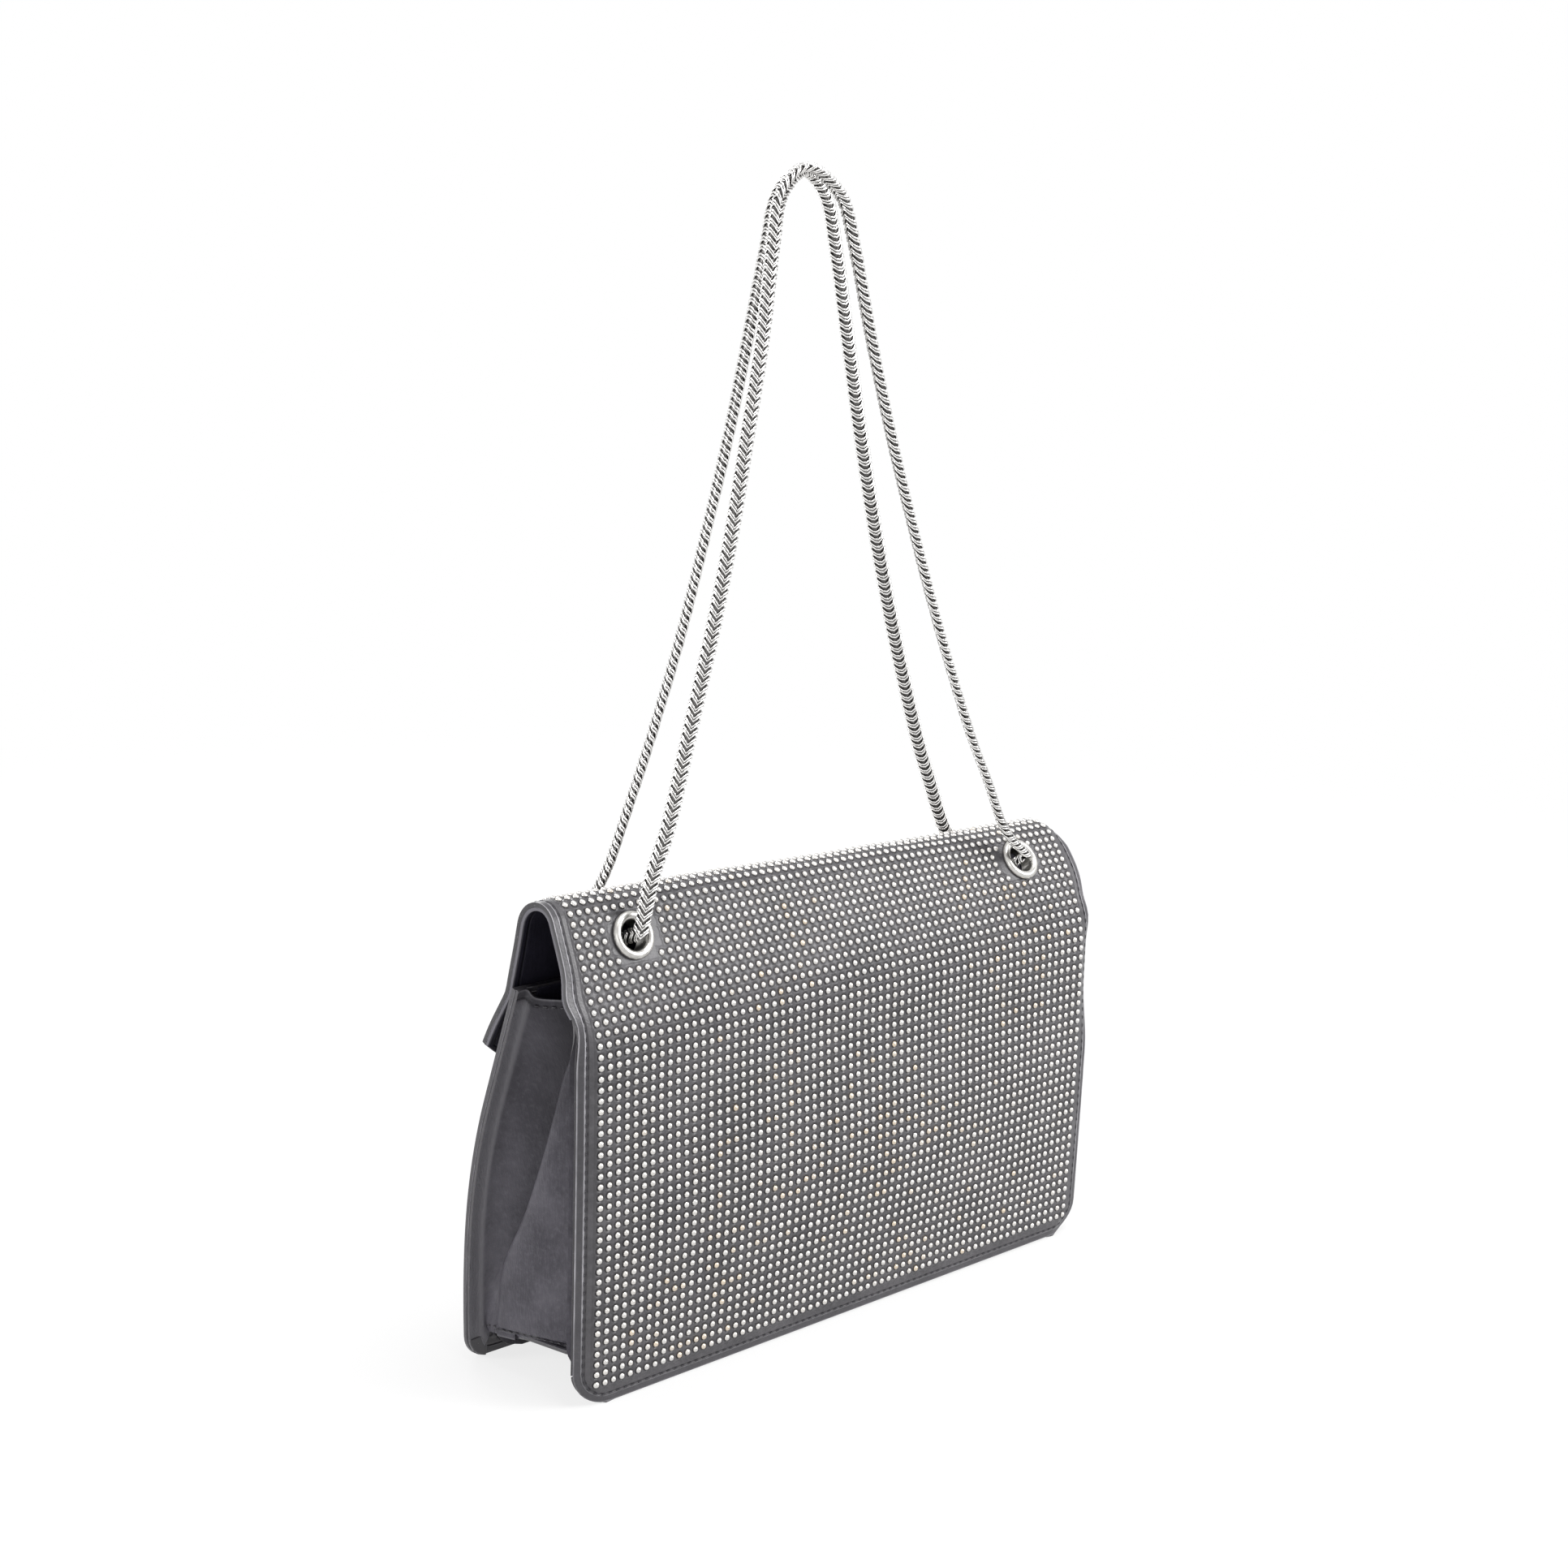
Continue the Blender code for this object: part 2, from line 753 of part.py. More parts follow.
def gusset_row(share):
    # a row of knots from the back flange to the front flange: width, depth and height
    flange_in = leather + flange_gap + gusset_leather
    fold_height = walk(shell_path, fold_at)[1]
    back_height = flange_foot + (fold_height - gusset_top_drop - flange_foot) * share
    back_at = distance_at_height(shell_path, 0.0, fold_at, -flange_in, back_height)
    back_edge = back_half(back_height)
    back_depth = aside(shell_path, back_at, -flange_in)[0]
    back_depth += margin_depth(back_edge - flange_width, back_at)
    front_height = flange_foot + (front_top - gusset_front_drop - flange_foot) * share
    front_at = distance_at_height(front_path, 0.0, front_length, flange_in, front_height)
    front_edge = front_half(front_height)
    front_depth = aside(front_path, front_at, flange_in)[0]
    span = front_depth - back_depth
    ridge = ridge_low_share + (ridge_high_share - ridge_low_share) * share
    hem_height = fold_height - 2 * gusset_top_drop
    columns = [
        (fit_gap, 0.0, 0.0), (flange_width - flange_turn, 0.0, 0.0), (flange_width, 0.0, flange_turn),
        (ridge_inset, ridge, 0.0), (ridge_inset + ridge_round, ridge, flange_turn),
        (crease_inset, ridge * crease_back_share, 0.0), (front_fold_inset, (1 + ridge) / 2, 0.0),
        (flange_width, 1.0, -flange_turn), (flange_width - flange_turn, 1.0, 0.0), (fit_gap, 1.0, 0.0),
    ]
    knots = []
    for index, (inset, along, step) in enumerate(columns):
        half = back_edge + (front_edge - back_edge) * along - inset
        depth = back_depth + span * along + step
        if index < 2:
            height = back_height
            layer = flange_in * margin_stretch(half, back_at)
            depth = aside(shell_path, back_at, -layer)[0] + margin_depth(half, back_at)
        elif index > len(columns) - 3:
            height = front_height
        else:
            low = base_height_at(max(depth, base_back_depth)) + gusset_seam_rise
            height = low + (hem_height - low) * share
        knots.append(Vector((half, depth, height)))
    return [2 * knots[0] - knots[1]] + knots + [2 * knots[-1] - knots[-2]]


def build_gusset(name, side, group):
    steps = [2, 2, 4, 3, 3, 3, 3, 2, 1]
    spots = [(index + 1, step / count) for index, count in enumerate(steps) for step in range(count)]
    spots.append((len(steps), 1.0))
    rows = 12

    def place(spot, share):
        index, along = spot
        half, depth, height = centripetal(gusset_row(share), index, along)
        return world(side * half, depth, height)

    stations = [row / rows for row in range(rows + 1)]
    item = sheet(name, group, "leather", spots, stations, place, gusset_leather, Vector((0, -1, 0)))
    item.modifiers["thickness"].use_even_offset = False
    return item


def eyelet_profile():
    # a rolled rim above the leather, a barrel through it and a curl under the washer
    inner = eyelet_hole_radius
    outer = eyelet_outer_radius
    barrel = inner + eyelet_wall
    middle = (inner + outer) / 2
    half = (outer - inner) / 2
    low = fit_gap
    rise = eyelet_rim_height - low
    rim = []
    arc_steps = 6
    for step in range(arc_steps + 1):
        angle = 2 * quarter_turn * step / arc_steps
        rim.append((middle - half * math.cos(angle), low + rise * math.sin(angle)))
    under = -(flap_thickness + washer_gap + washer_thickness + fit_gap)
    curl = [
        (barrel, low), (barrel, under), (barrel + eyelet_wall, under),
        (barrel + eyelet_wall, under - eyelet_curl), (inner, under - eyelet_curl),
    ]
    return rim + curl


def washer_profile():
    inner = eyelet_hole_radius + eyelet_wall + fit_gap
    top = -(flap_thickness + washer_gap)
    bottom = top - washer_thickness
    return [(inner, top), (washer_radius, top), (washer_radius, bottom), (inner, bottom)]


def build_eyelets(group, cutters, shells):
    pieces = {}
    hole = eyelet_hole_radius + eyelet_wall + fit_gap
    places = []
    for place in eyelet_places:
        frame = eyelet_frame(place)
        pieces["eyelet_" + place] = turned(
            "eyelet_" + place, group, "silver", eyelet_profile(), frame, True)
        pieces["washer_" + place] = turned(
            "washer_" + place, group, "steel", washer_profile(), frame, True)
        places.append((frame, hole, flap_thickness + cut_overrun))
    holes = cutter("eyelet_holes", cutters, places)
    cut(shells["flap_leather"], holes)
    cut(shells["flap_lining"], holes)
    return pieces


def strap_knots(row, shares):
    # the loop leans from its axis towards the apex between the two rows of eyelets
    left, right = strap_axis(row)
    offset = chain_radius + strap_pair_gap / 2
    depth = strap_apex_depth - offset if row == "back" else strap_apex_depth + offset
    knots = []
    for across, up in shares:
        foot = left.lerp(right, (1 + across) / 2)
        top = world(foot.x, depth, strap_top)
        knots.append(foot.lerp(top, up))
    return knots


def build_strap(name, row, shares, group):
    left, right = strap_axis(row)
    empty = pivot(name + "_pivot", group, (left + right) / 2)
    route = smooth_route(strap_knots(row, shares), strap_points)
    radii = [1.0] * len(route)
    route, radii = round_end(route, radii)
    route, radii = round_end(route[::-1], radii[::-1])
    return tube(name, group, "silver", route, radii, 2), empty


def build_chain_run(name, side, group):
    # inside the arch the chain crosses from the back eyelet to the front one
    back = eyelet_frame("back_" + side)
    front = eyelet_frame("front_" + side)
    mouth = strap_standoff - chain_radius - fit_gap
    inside = -(flap_thickness + washer_gap + washer_thickness + eyelet_curl)
    knots = [back @ Vector((0.0, 0.0, mouth)), back @ Vector((0.0, 0.0, inside))]
    last = [front @ Vector((0.0, 0.0, inside)), front @ Vector((0.0, 0.0, mouth))]
    middle = (knots[1] + last[0]) / 2
    middle.z -= run_dip
    route = smooth_route(knots + [middle] + last, run_points)
    return tube(name, group, "silver", route, [1.0] * len(route), 2)


def snap_places():
    # the two halves face each other along the front panel's own direction
    flap_at = flap_end - snap_from_edge
    height = aside(shell_path, flap_at, -flap_thickness)[1]
    front_at = distance_at_height(front_path, 0.0, front_length, 0.0, height)
    share = swell_share(0.0, front_at / front_length)
    front = front_frame(0.0, front_at, front_swell * share)
    flap = shell_frame(0.0, flap_at, -(leather + fit_gap))
    return front, flap


def disc_profile(radius, top, bottom):
    return [(0.0, top), (radius, top), (radius, bottom), (0.0, bottom)]


def build_snap(group, cutters, shells):
    pieces = {}
    front, flap = snap_places()
    # distance between the panel's outer side and the flap leather's inner side, along the snap
    normal = front.to_3x3() @ Vector((0, 0, 1))
    room = (flap.translation - front.translation).dot(normal)
    tilt = math.acos(min(1.0, normal.dot(flap.to_3x3() @ Vector((0, 0, 1)))))
    rim_swing = snap_radius * math.sin(tilt)
    socket_top = fit_gap + snap_socket_height
    stem_bottom = -(flap_thickness + fit_gap)
    socket = [
        (0.0, socket_top), (snap_radius, socket_top), (snap_radius, fit_gap),
        (snap_stem_radius, fit_gap), (snap_stem_radius, stem_bottom), (0.0, stem_bottom),
    ]
    pieces["snap_socket"] = turned("snap_socket", group, "steel", socket, front, False)
    panel_sag = backing_radius ** 2 * slope_turn / slope_run
    backing_top = -(leather + fit_gap + panel_sag)
    inner = snap_stem_radius + fit_gap
    backing = [
        (inner, backing_top), (backing_radius, backing_top),
        (backing_radius, backing_top - backing_thickness), (inner, backing_top - backing_thickness),
    ]
    pieces["snap_backing"] = turned("snap_backing", group, "steel", backing, front, True)
    stud_bottom = socket_top + fit_gap
    flap_sag = snap_radius ** 2 * flap_closing / drop_run
    stud_top = room - rim_swing - flap_sag
    pieces["snap_stud"] = turned(
        "snap_stud", group, "steel", disc_profile(snap_radius, stud_top, stud_bottom), front, False)
    stem_hole = cutter("stem_hole", cutters, [(front, snap_stem_radius + fit_gap, cut_overrun)])
    cut(shells["front_panel"], stem_hole)
    backing_hole = cutter("backing_hole", cutters, [(front, backing_radius + fit_gap, cut_overrun)])
    cut(shells["front_lining"], backing_hole)
    stud_hole = cutter("stud_hole", cutters, [
        (front @ Matrix.Translation((0.0, 0.0, stud_top)), snap_radius + fit_gap + rim_swing,
         flap_thickness)])
    cut(shells["flap_lining"], stud_hole)
    return pieces


def squeeze_axis():
    # the front panel swings about the line where the base strip leaves it
    inward = leather + fit_gap
    at = distance_at_height(front_path, 0.0, front_length, inward, squeeze_height)
    return world(0.0, *aside(front_path, at, inward))


def build_bag():
    clear_scene()
    group = new_collection("shoulder_bag")
    cutters = new_collection("cutters")
    shells = build_shells(group)
    build_base(group)
    build_gusset("gusset_left", -1, group)
    build_gusset("gusset_right", 1, group)
    eyelets = build_eyelets(group, cutters, shells)
    runs = [build_chain_run("chain_run_" + side, side, group) for side in ("left", "right")]
    back_strap, back_pivot = build_strap("strap_back_chain", "back", back_strap_shares, group)
    front_strap, front_pivot = build_strap("strap_front_chain", "front", front_strap_shares, group)
    snaps = build_snap(group, cutters, shells)
    flap_pivot = pivot("flap_pivot", group, world(0.0, *walk(shell_path, fold_at)[:2]))
    mouth_pivot = pivot("front_squeeze_pivot", group, squeeze_axis())
    flap_items = [shells["flap_leather"], shells["flap_lining"], snaps["snap_stud"]]
    hang_on(flap_pivot, flap_items + list(eyelets.values()) + runs + [back_pivot, front_pivot])
    bpy.context.view_layer.update()
    hang_on(back_pivot, [back_strap])
    hang_on(front_pivot, [front_strap])
    hang_on(mouth_pivot, [
        shells["front_panel"], shells["front_lining"], snaps["snap_socket"], snaps["snap_backing"]])
    bpy.context.view_layer.update()


build_bag()
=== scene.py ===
import math
import random

import bmesh
import bpy
from mathutils import Matrix, Vector, noise
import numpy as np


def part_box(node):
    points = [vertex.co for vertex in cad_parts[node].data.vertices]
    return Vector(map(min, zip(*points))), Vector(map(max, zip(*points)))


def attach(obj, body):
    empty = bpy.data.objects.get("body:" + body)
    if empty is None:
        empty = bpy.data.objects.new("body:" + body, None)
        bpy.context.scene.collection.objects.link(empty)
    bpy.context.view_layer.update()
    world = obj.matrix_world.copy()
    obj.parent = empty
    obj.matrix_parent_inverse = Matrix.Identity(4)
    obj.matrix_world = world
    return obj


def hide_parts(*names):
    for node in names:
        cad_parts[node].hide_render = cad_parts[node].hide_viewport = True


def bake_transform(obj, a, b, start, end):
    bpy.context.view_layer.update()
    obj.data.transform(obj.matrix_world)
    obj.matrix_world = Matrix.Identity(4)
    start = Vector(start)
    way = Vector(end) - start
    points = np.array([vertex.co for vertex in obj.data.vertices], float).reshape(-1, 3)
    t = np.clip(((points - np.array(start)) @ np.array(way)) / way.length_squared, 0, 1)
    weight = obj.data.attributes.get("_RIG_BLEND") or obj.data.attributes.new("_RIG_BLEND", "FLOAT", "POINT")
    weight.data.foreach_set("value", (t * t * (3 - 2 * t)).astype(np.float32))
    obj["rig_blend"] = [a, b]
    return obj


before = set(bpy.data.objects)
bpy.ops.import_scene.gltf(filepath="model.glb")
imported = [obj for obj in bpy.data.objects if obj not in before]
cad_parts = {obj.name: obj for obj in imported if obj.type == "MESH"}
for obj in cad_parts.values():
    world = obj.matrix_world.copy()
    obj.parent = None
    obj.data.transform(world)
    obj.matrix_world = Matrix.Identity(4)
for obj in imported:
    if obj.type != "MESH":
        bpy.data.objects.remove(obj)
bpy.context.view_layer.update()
dice = random.Random(7)
print("frame loaded")


# Shader maths as Python expressions

class Wire:
    def __init__(self, bench, socket):
        self.bench = bench
        self.socket = socket

    def math(self, operation, *others):
        ends = dict(enumerate((self, *others)))
        return self.bench.put("ShaderNodeMath", {"operation": operation}, ends).out("Value")

    def __add__(self, other):
        return self.math("ADD", other)

    def __sub__(self, other):
        return self.math("SUBTRACT", other)

    def __rsub__(self, other):
        return self.bench.put("ShaderNodeMath", {"operation": "SUBTRACT"}, {0: other, 1: self}).out("Value")

    def __mul__(self, other):
        return self.math("MULTIPLY", other)

    def __truediv__(self, other):
        return self.math("DIVIDE", other)

    def larger(self, other):
        return self.math("MAXIMUM", other)

    def size(self):
        return self.math("ABSOLUTE")

    def ramp(self, low, high):
        # 0 below low, 1 above high, smooth between
        settings = {"interpolation_type": "SMOOTHSTEP"}
        values = {"Value": self, "From Min": low, "From Max": high}
        return self.bench.put("ShaderNodeMapRange", settings, values).out("Result")


class Put:
    def __init__(self, bench, node):
        self.bench = bench
        self.node = node

    def out(self, name):
        return Wire(self.bench, self.node.outputs[name])


class Bench:
    # the nodes of one new material, or of the tree that is given
    def __init__(self, name, tree=None):
        if tree is None:
            self.material = bpy.data.materials.new(name)
            self.material.use_nodes = True
            tree = self.material.node_tree
        self.tree = tree
        self.tree.nodes.clear()

    def put(self, kind, settings=None, values=None):
        node = self.tree.nodes.new(kind)
        for key, value in (settings or {}).items():
            setattr(node, key, value)
        for key, value in (values or {}).items():
            self.join(value, node.inputs[key])
        return Put(self, node)

    def join(self, value, socket):
        if isinstance(value, Wire):
            self.tree.links.new(value.socket, socket)
        elif isinstance(value, tuple) and socket.type == "RGBA":
            socket.default_value = (*value, 1.0)
        else:
            socket.default_value = value

    def place(self):
        return self.put("ShaderNodeTexCoord").out("Object")

    def backdropShare(self):
        # one to the camera, in reflections and through glass, and nothing to other light
        rays = self.put("ShaderNodeLightPath")
        seen = rays.out("Is Camera Ray").larger(rays.out("Is Glossy Ray"))
        return seen.larger(rays.out("Is Transmission Ray"))

    def panelMap(self):
        # metres across and along the leather
        return self.put("ShaderNodeUVMap", {"uv_map": "panelMap"}).out("UV")

    def split(self, vector):
        parts = self.put("ShaderNodeSeparateXYZ", None, {"Vector": vector})
        return parts.out("X"), parts.out("Y"), parts.out("Z")

    def cloud(self, vector, scale, detail=2.0, rough=0.5):
        values = {"Vector": vector, "Scale": scale, "Detail": detail, "Roughness": rough}
        return self.put("ShaderNodeTexNoise", None, values).out("Fac")

    def cells(self, vector, scale):
        return self.put("ShaderNodeTexVoronoi", None, {"Vector": vector, "Scale": scale}).out("Distance")

    def tone(self, name):
        return self.put("ShaderNodeAttribute", {"attribute_name": name}).out("Fac")

    def blendColours(self, share, low, high):
        # the colour sockets of a Mix node come after its number and vector ones
        return self.put("ShaderNodeMix", {"data_type": "RGBA"}, {0: share, 6: low, 7: high}).out(2)

    def bump(self, height, distance):
        return self.put("ShaderNodeBump", None, {"Height": height, "Distance": distance}).out("Normal")

    def finish(self, **sockets):
        shader = self.put("ShaderNodeBsdfPrincipled")
        for key, value in sockets.items():
            self.join(value, shader.node.inputs[key.replace("_", " ")])
        self.put("ShaderNodeOutputMaterial", None, {"Surface": shader.out("BSDF")})
        return self.material


# Materials

studLattice = {"pitch": 0.004, "firstRow": 0.008, "columns": 66, "slack": 0.001}

leatherLook = {
    "dark": (0.043, 0.041, 0.046),
    "light": (0.078, 0.074, 0.081),
    "fleck": (0.13, 0.125, 0.135),
    "grainScale": 1500.0,
    "grainDepth": 0.00009,
    "creaseScale": 260.0,
    "roughness": 0.40,
    "shadow": (0.02, 0.019, 0.021),       # round each stud
    "band": (0.036, 0.034, 0.041),        # the turned edge, outside the seam
    "seam": (0.022, 0.020, 0.026),
    # pale edge lines: wear and painted highlight
    "wearAndHighlight": (0.42, 0.41, 0.44),
    "seamAt": 0.0032,
    "wearHighlightAt": 0.0025,
    "pillowRise": 0.00055,
    "seamDepth": 0.0005,
    "wearHighlightRise": 0.0003,
}


def leatherNodes(bench, where, look):
    grain = bench.cells(where, look["grainScale"])
    mottle = bench.cloud(where, 38.0, 4.0, 0.6)
    crease = bench.cloud(where, look["creaseScale"], 5.0, 0.62)
    colour = bench.blendColours(mottle.ramp(0.3, 0.72), look["dark"], look["light"])
    colour = bench.blendColours(crease.ramp(0.45, 0.7) * 0.3, colour, look["fleck"])
    height = grain * 0.6 + crease * 0.9
    rough = crease * 0.16 + (look["roughness"] - 0.08)
    return colour, height, rough


def underFlap(bench):
    # the panels' upper edges under the flap, which get painted shade on their edge paint and no pale edge
    # line
    x, y, z = bench.split(bench.place())
    return z.ramp(0.137, 0.143) * (1 - x.size().ramp(0.1300, 0.1345))


def makeStuddedLeather():
    bench = Bench("studdedLeather")
    where = bench.panelMap()
    across, along, rest = bench.split(where)
    look = leatherLook
    colour, height, rough = leatherNodes(bench, where, look)
    pitch = studLattice["pitch"]
    cellX = ((across / pitch).math("FRACT") - 0.5) * pitch
    cellY = ((along / pitch + 0.5).math("FRACT") - 0.5) * pitch
    reach = (cellX * cellX + cellY * cellY).math("SQRT")
    studded = bench.tone("studded")
    pillow = reach.ramp(0.0009, 0.0023) * studded
    shadow = (1 - reach.ramp(0.0011, 0.0019)) * studded
    edge = bench.tone("edgeRun")
    seam = 1 - (edge - look["seamAt"]).size().ramp(0.0, 0.0007)
    band = 1 - edge.ramp(0.0021, 0.0030)
    # pale lines outside the seam and at the very edge, worn and painted as highlights; fainter low down, and
    # no edge line under the flap
    wearAndHighlight = 1 - (edge - look["wearHighlightAt"]).size().ramp(0.0001, 0.00045)
    rim = (1 - edge.ramp(0.0001, 0.0006)) * (1 - underFlap(bench))
    lifted = along.ramp(0.006, 0.045) * 0.75 + 0.25
    patchy = bench.cloud(where, 120.0, 3.0).ramp(0.25, 0.7) * 0.5 + 0.5
    colour = bench.blendColours(shadow * 0.55, colour, look["shadow"])
    colour = bench.blendColours(band * 0.45, colour, look["band"])
    colour = bench.blendColours(seam * 0.6, colour, look["seam"])
    colour = bench.blendColours(wearAndHighlight.larger(rim) * patchy * lifted, colour, look["wearAndHighlight"])
    relief = height * look["grainDepth"] + pillow * look["pillowRise"]
    relief = relief - seam * look["seamDepth"] + wearAndHighlight * look["wearHighlightRise"]
    return bench.finish(Base_Color=colour, Roughness=rough, Normal=bench.bump(relief, 1.0),
                        Specular_IOR_Level=0.5, Coat_Weight=0.08, Coat_Roughness=0.3)


def makePlainLeather(name, look):
    bench = Bench(name)
    spot = bench.panelMap()
    colour, height, rough = leatherNodes(bench, spot, look)
    folds = bench.cloud(spot, 70.0, 5.0, 0.7)
    lengthwise = bench.put("ShaderNodeMapping", None, {"Vector": spot, "Scale": (1.0, 0.22, 1.0)})
    streaks = bench.cloud(lengthwise.out("Vector"), 1100.0, 3.0)
    relief = height * look["grainDepth"] + folds * look["foldDepth"] + streaks * 0.00022
    edge = bench.tone("edgeRun")
    seam = 1 - (edge - 0.0030).size().ramp(0.0, 0.0009)
    wearAndHighlight = 1 - edge.ramp(0.0002, 0.0011)
    relief = relief - seam * 0.0004
    # painted light and painted shade from the gusset's tones
    colour = bench.blendColours(bench.tone("paintedLight"), colour, look["worn"])
    colour = bench.blendColours(bench.tone("paintedShade") * 0.9, colour, look["deep"])
    colour = bench.blendColours(seam * 0.5, colour, look["deep"])
    colour = bench.blendColours(wearAndHighlight * 0.4, colour, look["worn"])
    return bench.finish(Base_Color=colour, Roughness=rough, Normal=bench.bump(relief, 1.0),
                        Specular_IOR_Level=look["shine"])


gussetLook = {
    "dark": (0.044, 0.041, 0.051),
    "light": (0.092, 0.087, 0.103),
    "fleck": (0.125, 0.12, 0.137),
    # deep: the seams' dark and the painted shade in the folds; worn: rubbed edges and the painted light
    "deep": (0.010, 0.009, 0.012),
    "worn": (0.20, 0.195, 0.21),
    "grainScale": 2100.0,
    "grainDepth": 0.00006,
    "creaseScale": 420.0,
    "roughness": 0.36,
    "foldDepth": 0.0006,
    "shine": 0.18,
}

liningLook = {
    "dark": (0.008, 0.0075, 0.013),
    "light": (0.018, 0.0165, 0.028),
    "fleck": (0.022, 0.020, 0.034),
    "deep": (0.006, 0.006, 0.008),
    "worn": (0.34, 0.33, 0.36),
    "grainScale": 2400.0,
    "grainDepth": 0.00003,
    "creaseScale": 500.0,
    "roughness": 0.66,
    "foldDepth": 0.0003,
    "shine": 0.2,
}


edgeLook = {
    "panelDark": (0.036, 0.034, 0.039),
    "panelLight": (0.066, 0.062, 0.070),
    "skinDark": (0.018, 0.017, 0.021),
    "skinLight": (0.034, 0.032, 0.037),
    "chip": (0.19, 0.18, 0.19),
    "shadeUnderFlap": (0.006, 0.006, 0.009),
    "coat": 0.2,
}


def makeEdgePaint(name, dark, light):
    bench = Bench(name)
    where = bench.place()
    smear = bench.cloud(where, 240.0, 3.0)
    chips = bench.cloud(where, 900.0, 2.0).ramp(0.62, 0.75)
    shadeUnderFlap = underFlap(bench)
    colour = bench.blendColours(smear, dark, light)
    colour = bench.blendColours(chips * 0.3, colour, edgeLook["chip"])
    # painted shade on the edge paint under the flap
    colour = bench.blendColours(shadeUnderFlap * 0.9, colour, edgeLook["shadeUnderFlap"])
    relief = smear * 0.0003 - chips * 0.00008
    return bench.finish(Base_Color=colour, Roughness=smear * 0.2 + 0.26, Normal=bench.bump(relief, 1.0),
                        Coat_Weight=edgeLook["coat"], Coat_Roughness=0.2)


threadLook = {
    "dark": (0.018, 0.017, 0.021),
    "light": (0.055, 0.052, 0.060),
    "twist": 900.0,
    "roughness": 0.6,
}


def makeThread():
    bench = Bench("waxedThread")
    settings = {"bands_direction": "DIAGONAL"}
    values = {"Vector": bench.place(), "Scale": threadLook["twist"]}
    twist = bench.put("ShaderNodeTexWave", settings, values).out("Fac")
    colour = bench.blendColours(twist, threadLook["dark"], threadLook["light"])
    return bench.finish(Base_Color=colour, Roughness=threadLook["roughness"],
                        Normal=bench.bump(twist, 0.00006))


studLook = {
    "dull": (0.60, 0.59, 0.575),
    "bright": (0.76, 0.75, 0.735),
    "warm": (0.72, 0.56, 0.36),       # worn plating
    "foot": (0.07, 0.067, 0.067),     # painted shade and reflection of the dark leather round the dome's foot
    "roughness": 0.25,
}


def makeStudSilver():
    bench = Bench("studSilver")
    warmth = bench.tone("warmth")
    dulling = bench.cloud(bench.place(), 700.0, 3.0)
    silver = bench.blendColours(dulling, studLook["dull"], studLook["bright"])
    colour = bench.blendColours(warmth, silver, studLook["warm"])
    # the dome's foot darkened: painted shade and reflection of the leather round it
    colour = bench.blendColours(1 - bench.tone("crown").ramp(0.0, 0.42), colour, studLook["foot"])
    rough = dulling * 0.12 + studLook["roughness"]
    scratches = bench.cloud(bench.place(), 5200.0, 2.0)
    return bench.finish(Base_Color=colour, Metallic=1.0, Roughness=rough,
                        Normal=bench.bump(scratches, 0.00002))


chainLook = {
    "dull": (0.74, 0.73, 0.715),
    "bright": (0.90, 0.89, 0.875),
    # inside: painted shade on the links' inner sides and their core
    "inside": (0.12, 0.116, 0.113),
    "roughness": 0.14,
}


def makeChainSilver():
    bench = Bench("chainSilver")
    inside = bench.tone("inside")
    film = bench.cloud(bench.place(), 520.0, 3.0)
    silver = bench.blendColours(film, chainLook["dull"], chainLook["bright"])
    # the inner side of each link and its core darkened: painted shade
    colour = bench.blendColours(inside, silver, chainLook["inside"])
    rough = film * 0.12 + chainLook["roughness"] + inside * 0.2
    marks = bench.cloud(bench.place(), 4200.0, 2.0)
    return bench.finish(Base_Color=colour, Metallic=1.0, Roughness=rough,
                        Normal=bench.bump(marks, 0.00002))


eyeletLook = {"bright": (0.62, 0.61, 0.585), "dull": (0.44, 0.43, 0.41), "roughness": 0.2}
snapLook = {"bright": (0.55, 0.55, 0.56), "dull": (0.40, 0.40, 0.41), "roughness": 0.24}


def makeTurnedMetal(name, look):
    bench = Bench(name)
    where = bench.place()
    film = bench.cloud(where, 300.0, 4.0)
    rub = bench.cloud(where, 2600.0, 2.0)
    colour = bench.blendColours(film.ramp(0.35, 0.7), look["bright"], look["dull"])
    rough = film * 0.12 + rub * 0.08 + look["roughness"]
    return bench.finish(Base_Color=colour, Metallic=1.0, Roughness=rough,
                        Normal=bench.bump(rub, 0.00003))


looks = {
    "studded": makeStuddedLeather(),
    "plain": makePlainLeather("gussetLeather", gussetLook),
    "lining": makePlainLeather("liningLeather", liningLook),
    "edge": makeEdgePaint("edgePaint", edgeLook["panelDark"], edgeLook["panelLight"]),
    "skinEdge": makeEdgePaint("skinEdgePaint", edgeLook["skinDark"], edgeLook["skinLight"]),
    "thread": makeThread(),
    "stud": makeStudSilver(),
    "chain": makeChainSilver(),
    "rim": makeTurnedMetal("eyeletSilver", eyeletLook),
    "steel": makeTurnedMetal("snapSteel", snapLook),
}
print("materials made")


# The bag's side paths: runs of a length and a turn, in depth from the back face and height

bagForm = {
    "leather": 0.0018, "gap": 0.0003, "lining": 0.0008, "liningMargin": 0.010,
    "backHalf": 0.138, "backCorner": 0.013, "backSwell": 0.003,
    "frontHalf": 0.141, "frontCorner": 0.009, "frontSwell": 0.0025, "frontTaper": 0.0015,
    "margin": 0.0078, "marginBend": 0.004, "marginPower": 1.5,
    "farMargin": 0.0030, "farMarginTop": 0.112, "farMarginDepth": 0.014,
    "straight": 0.127, "foldRadius": 0.054, "footTuck": 0.0020, "farTuck": 0.0024,
}

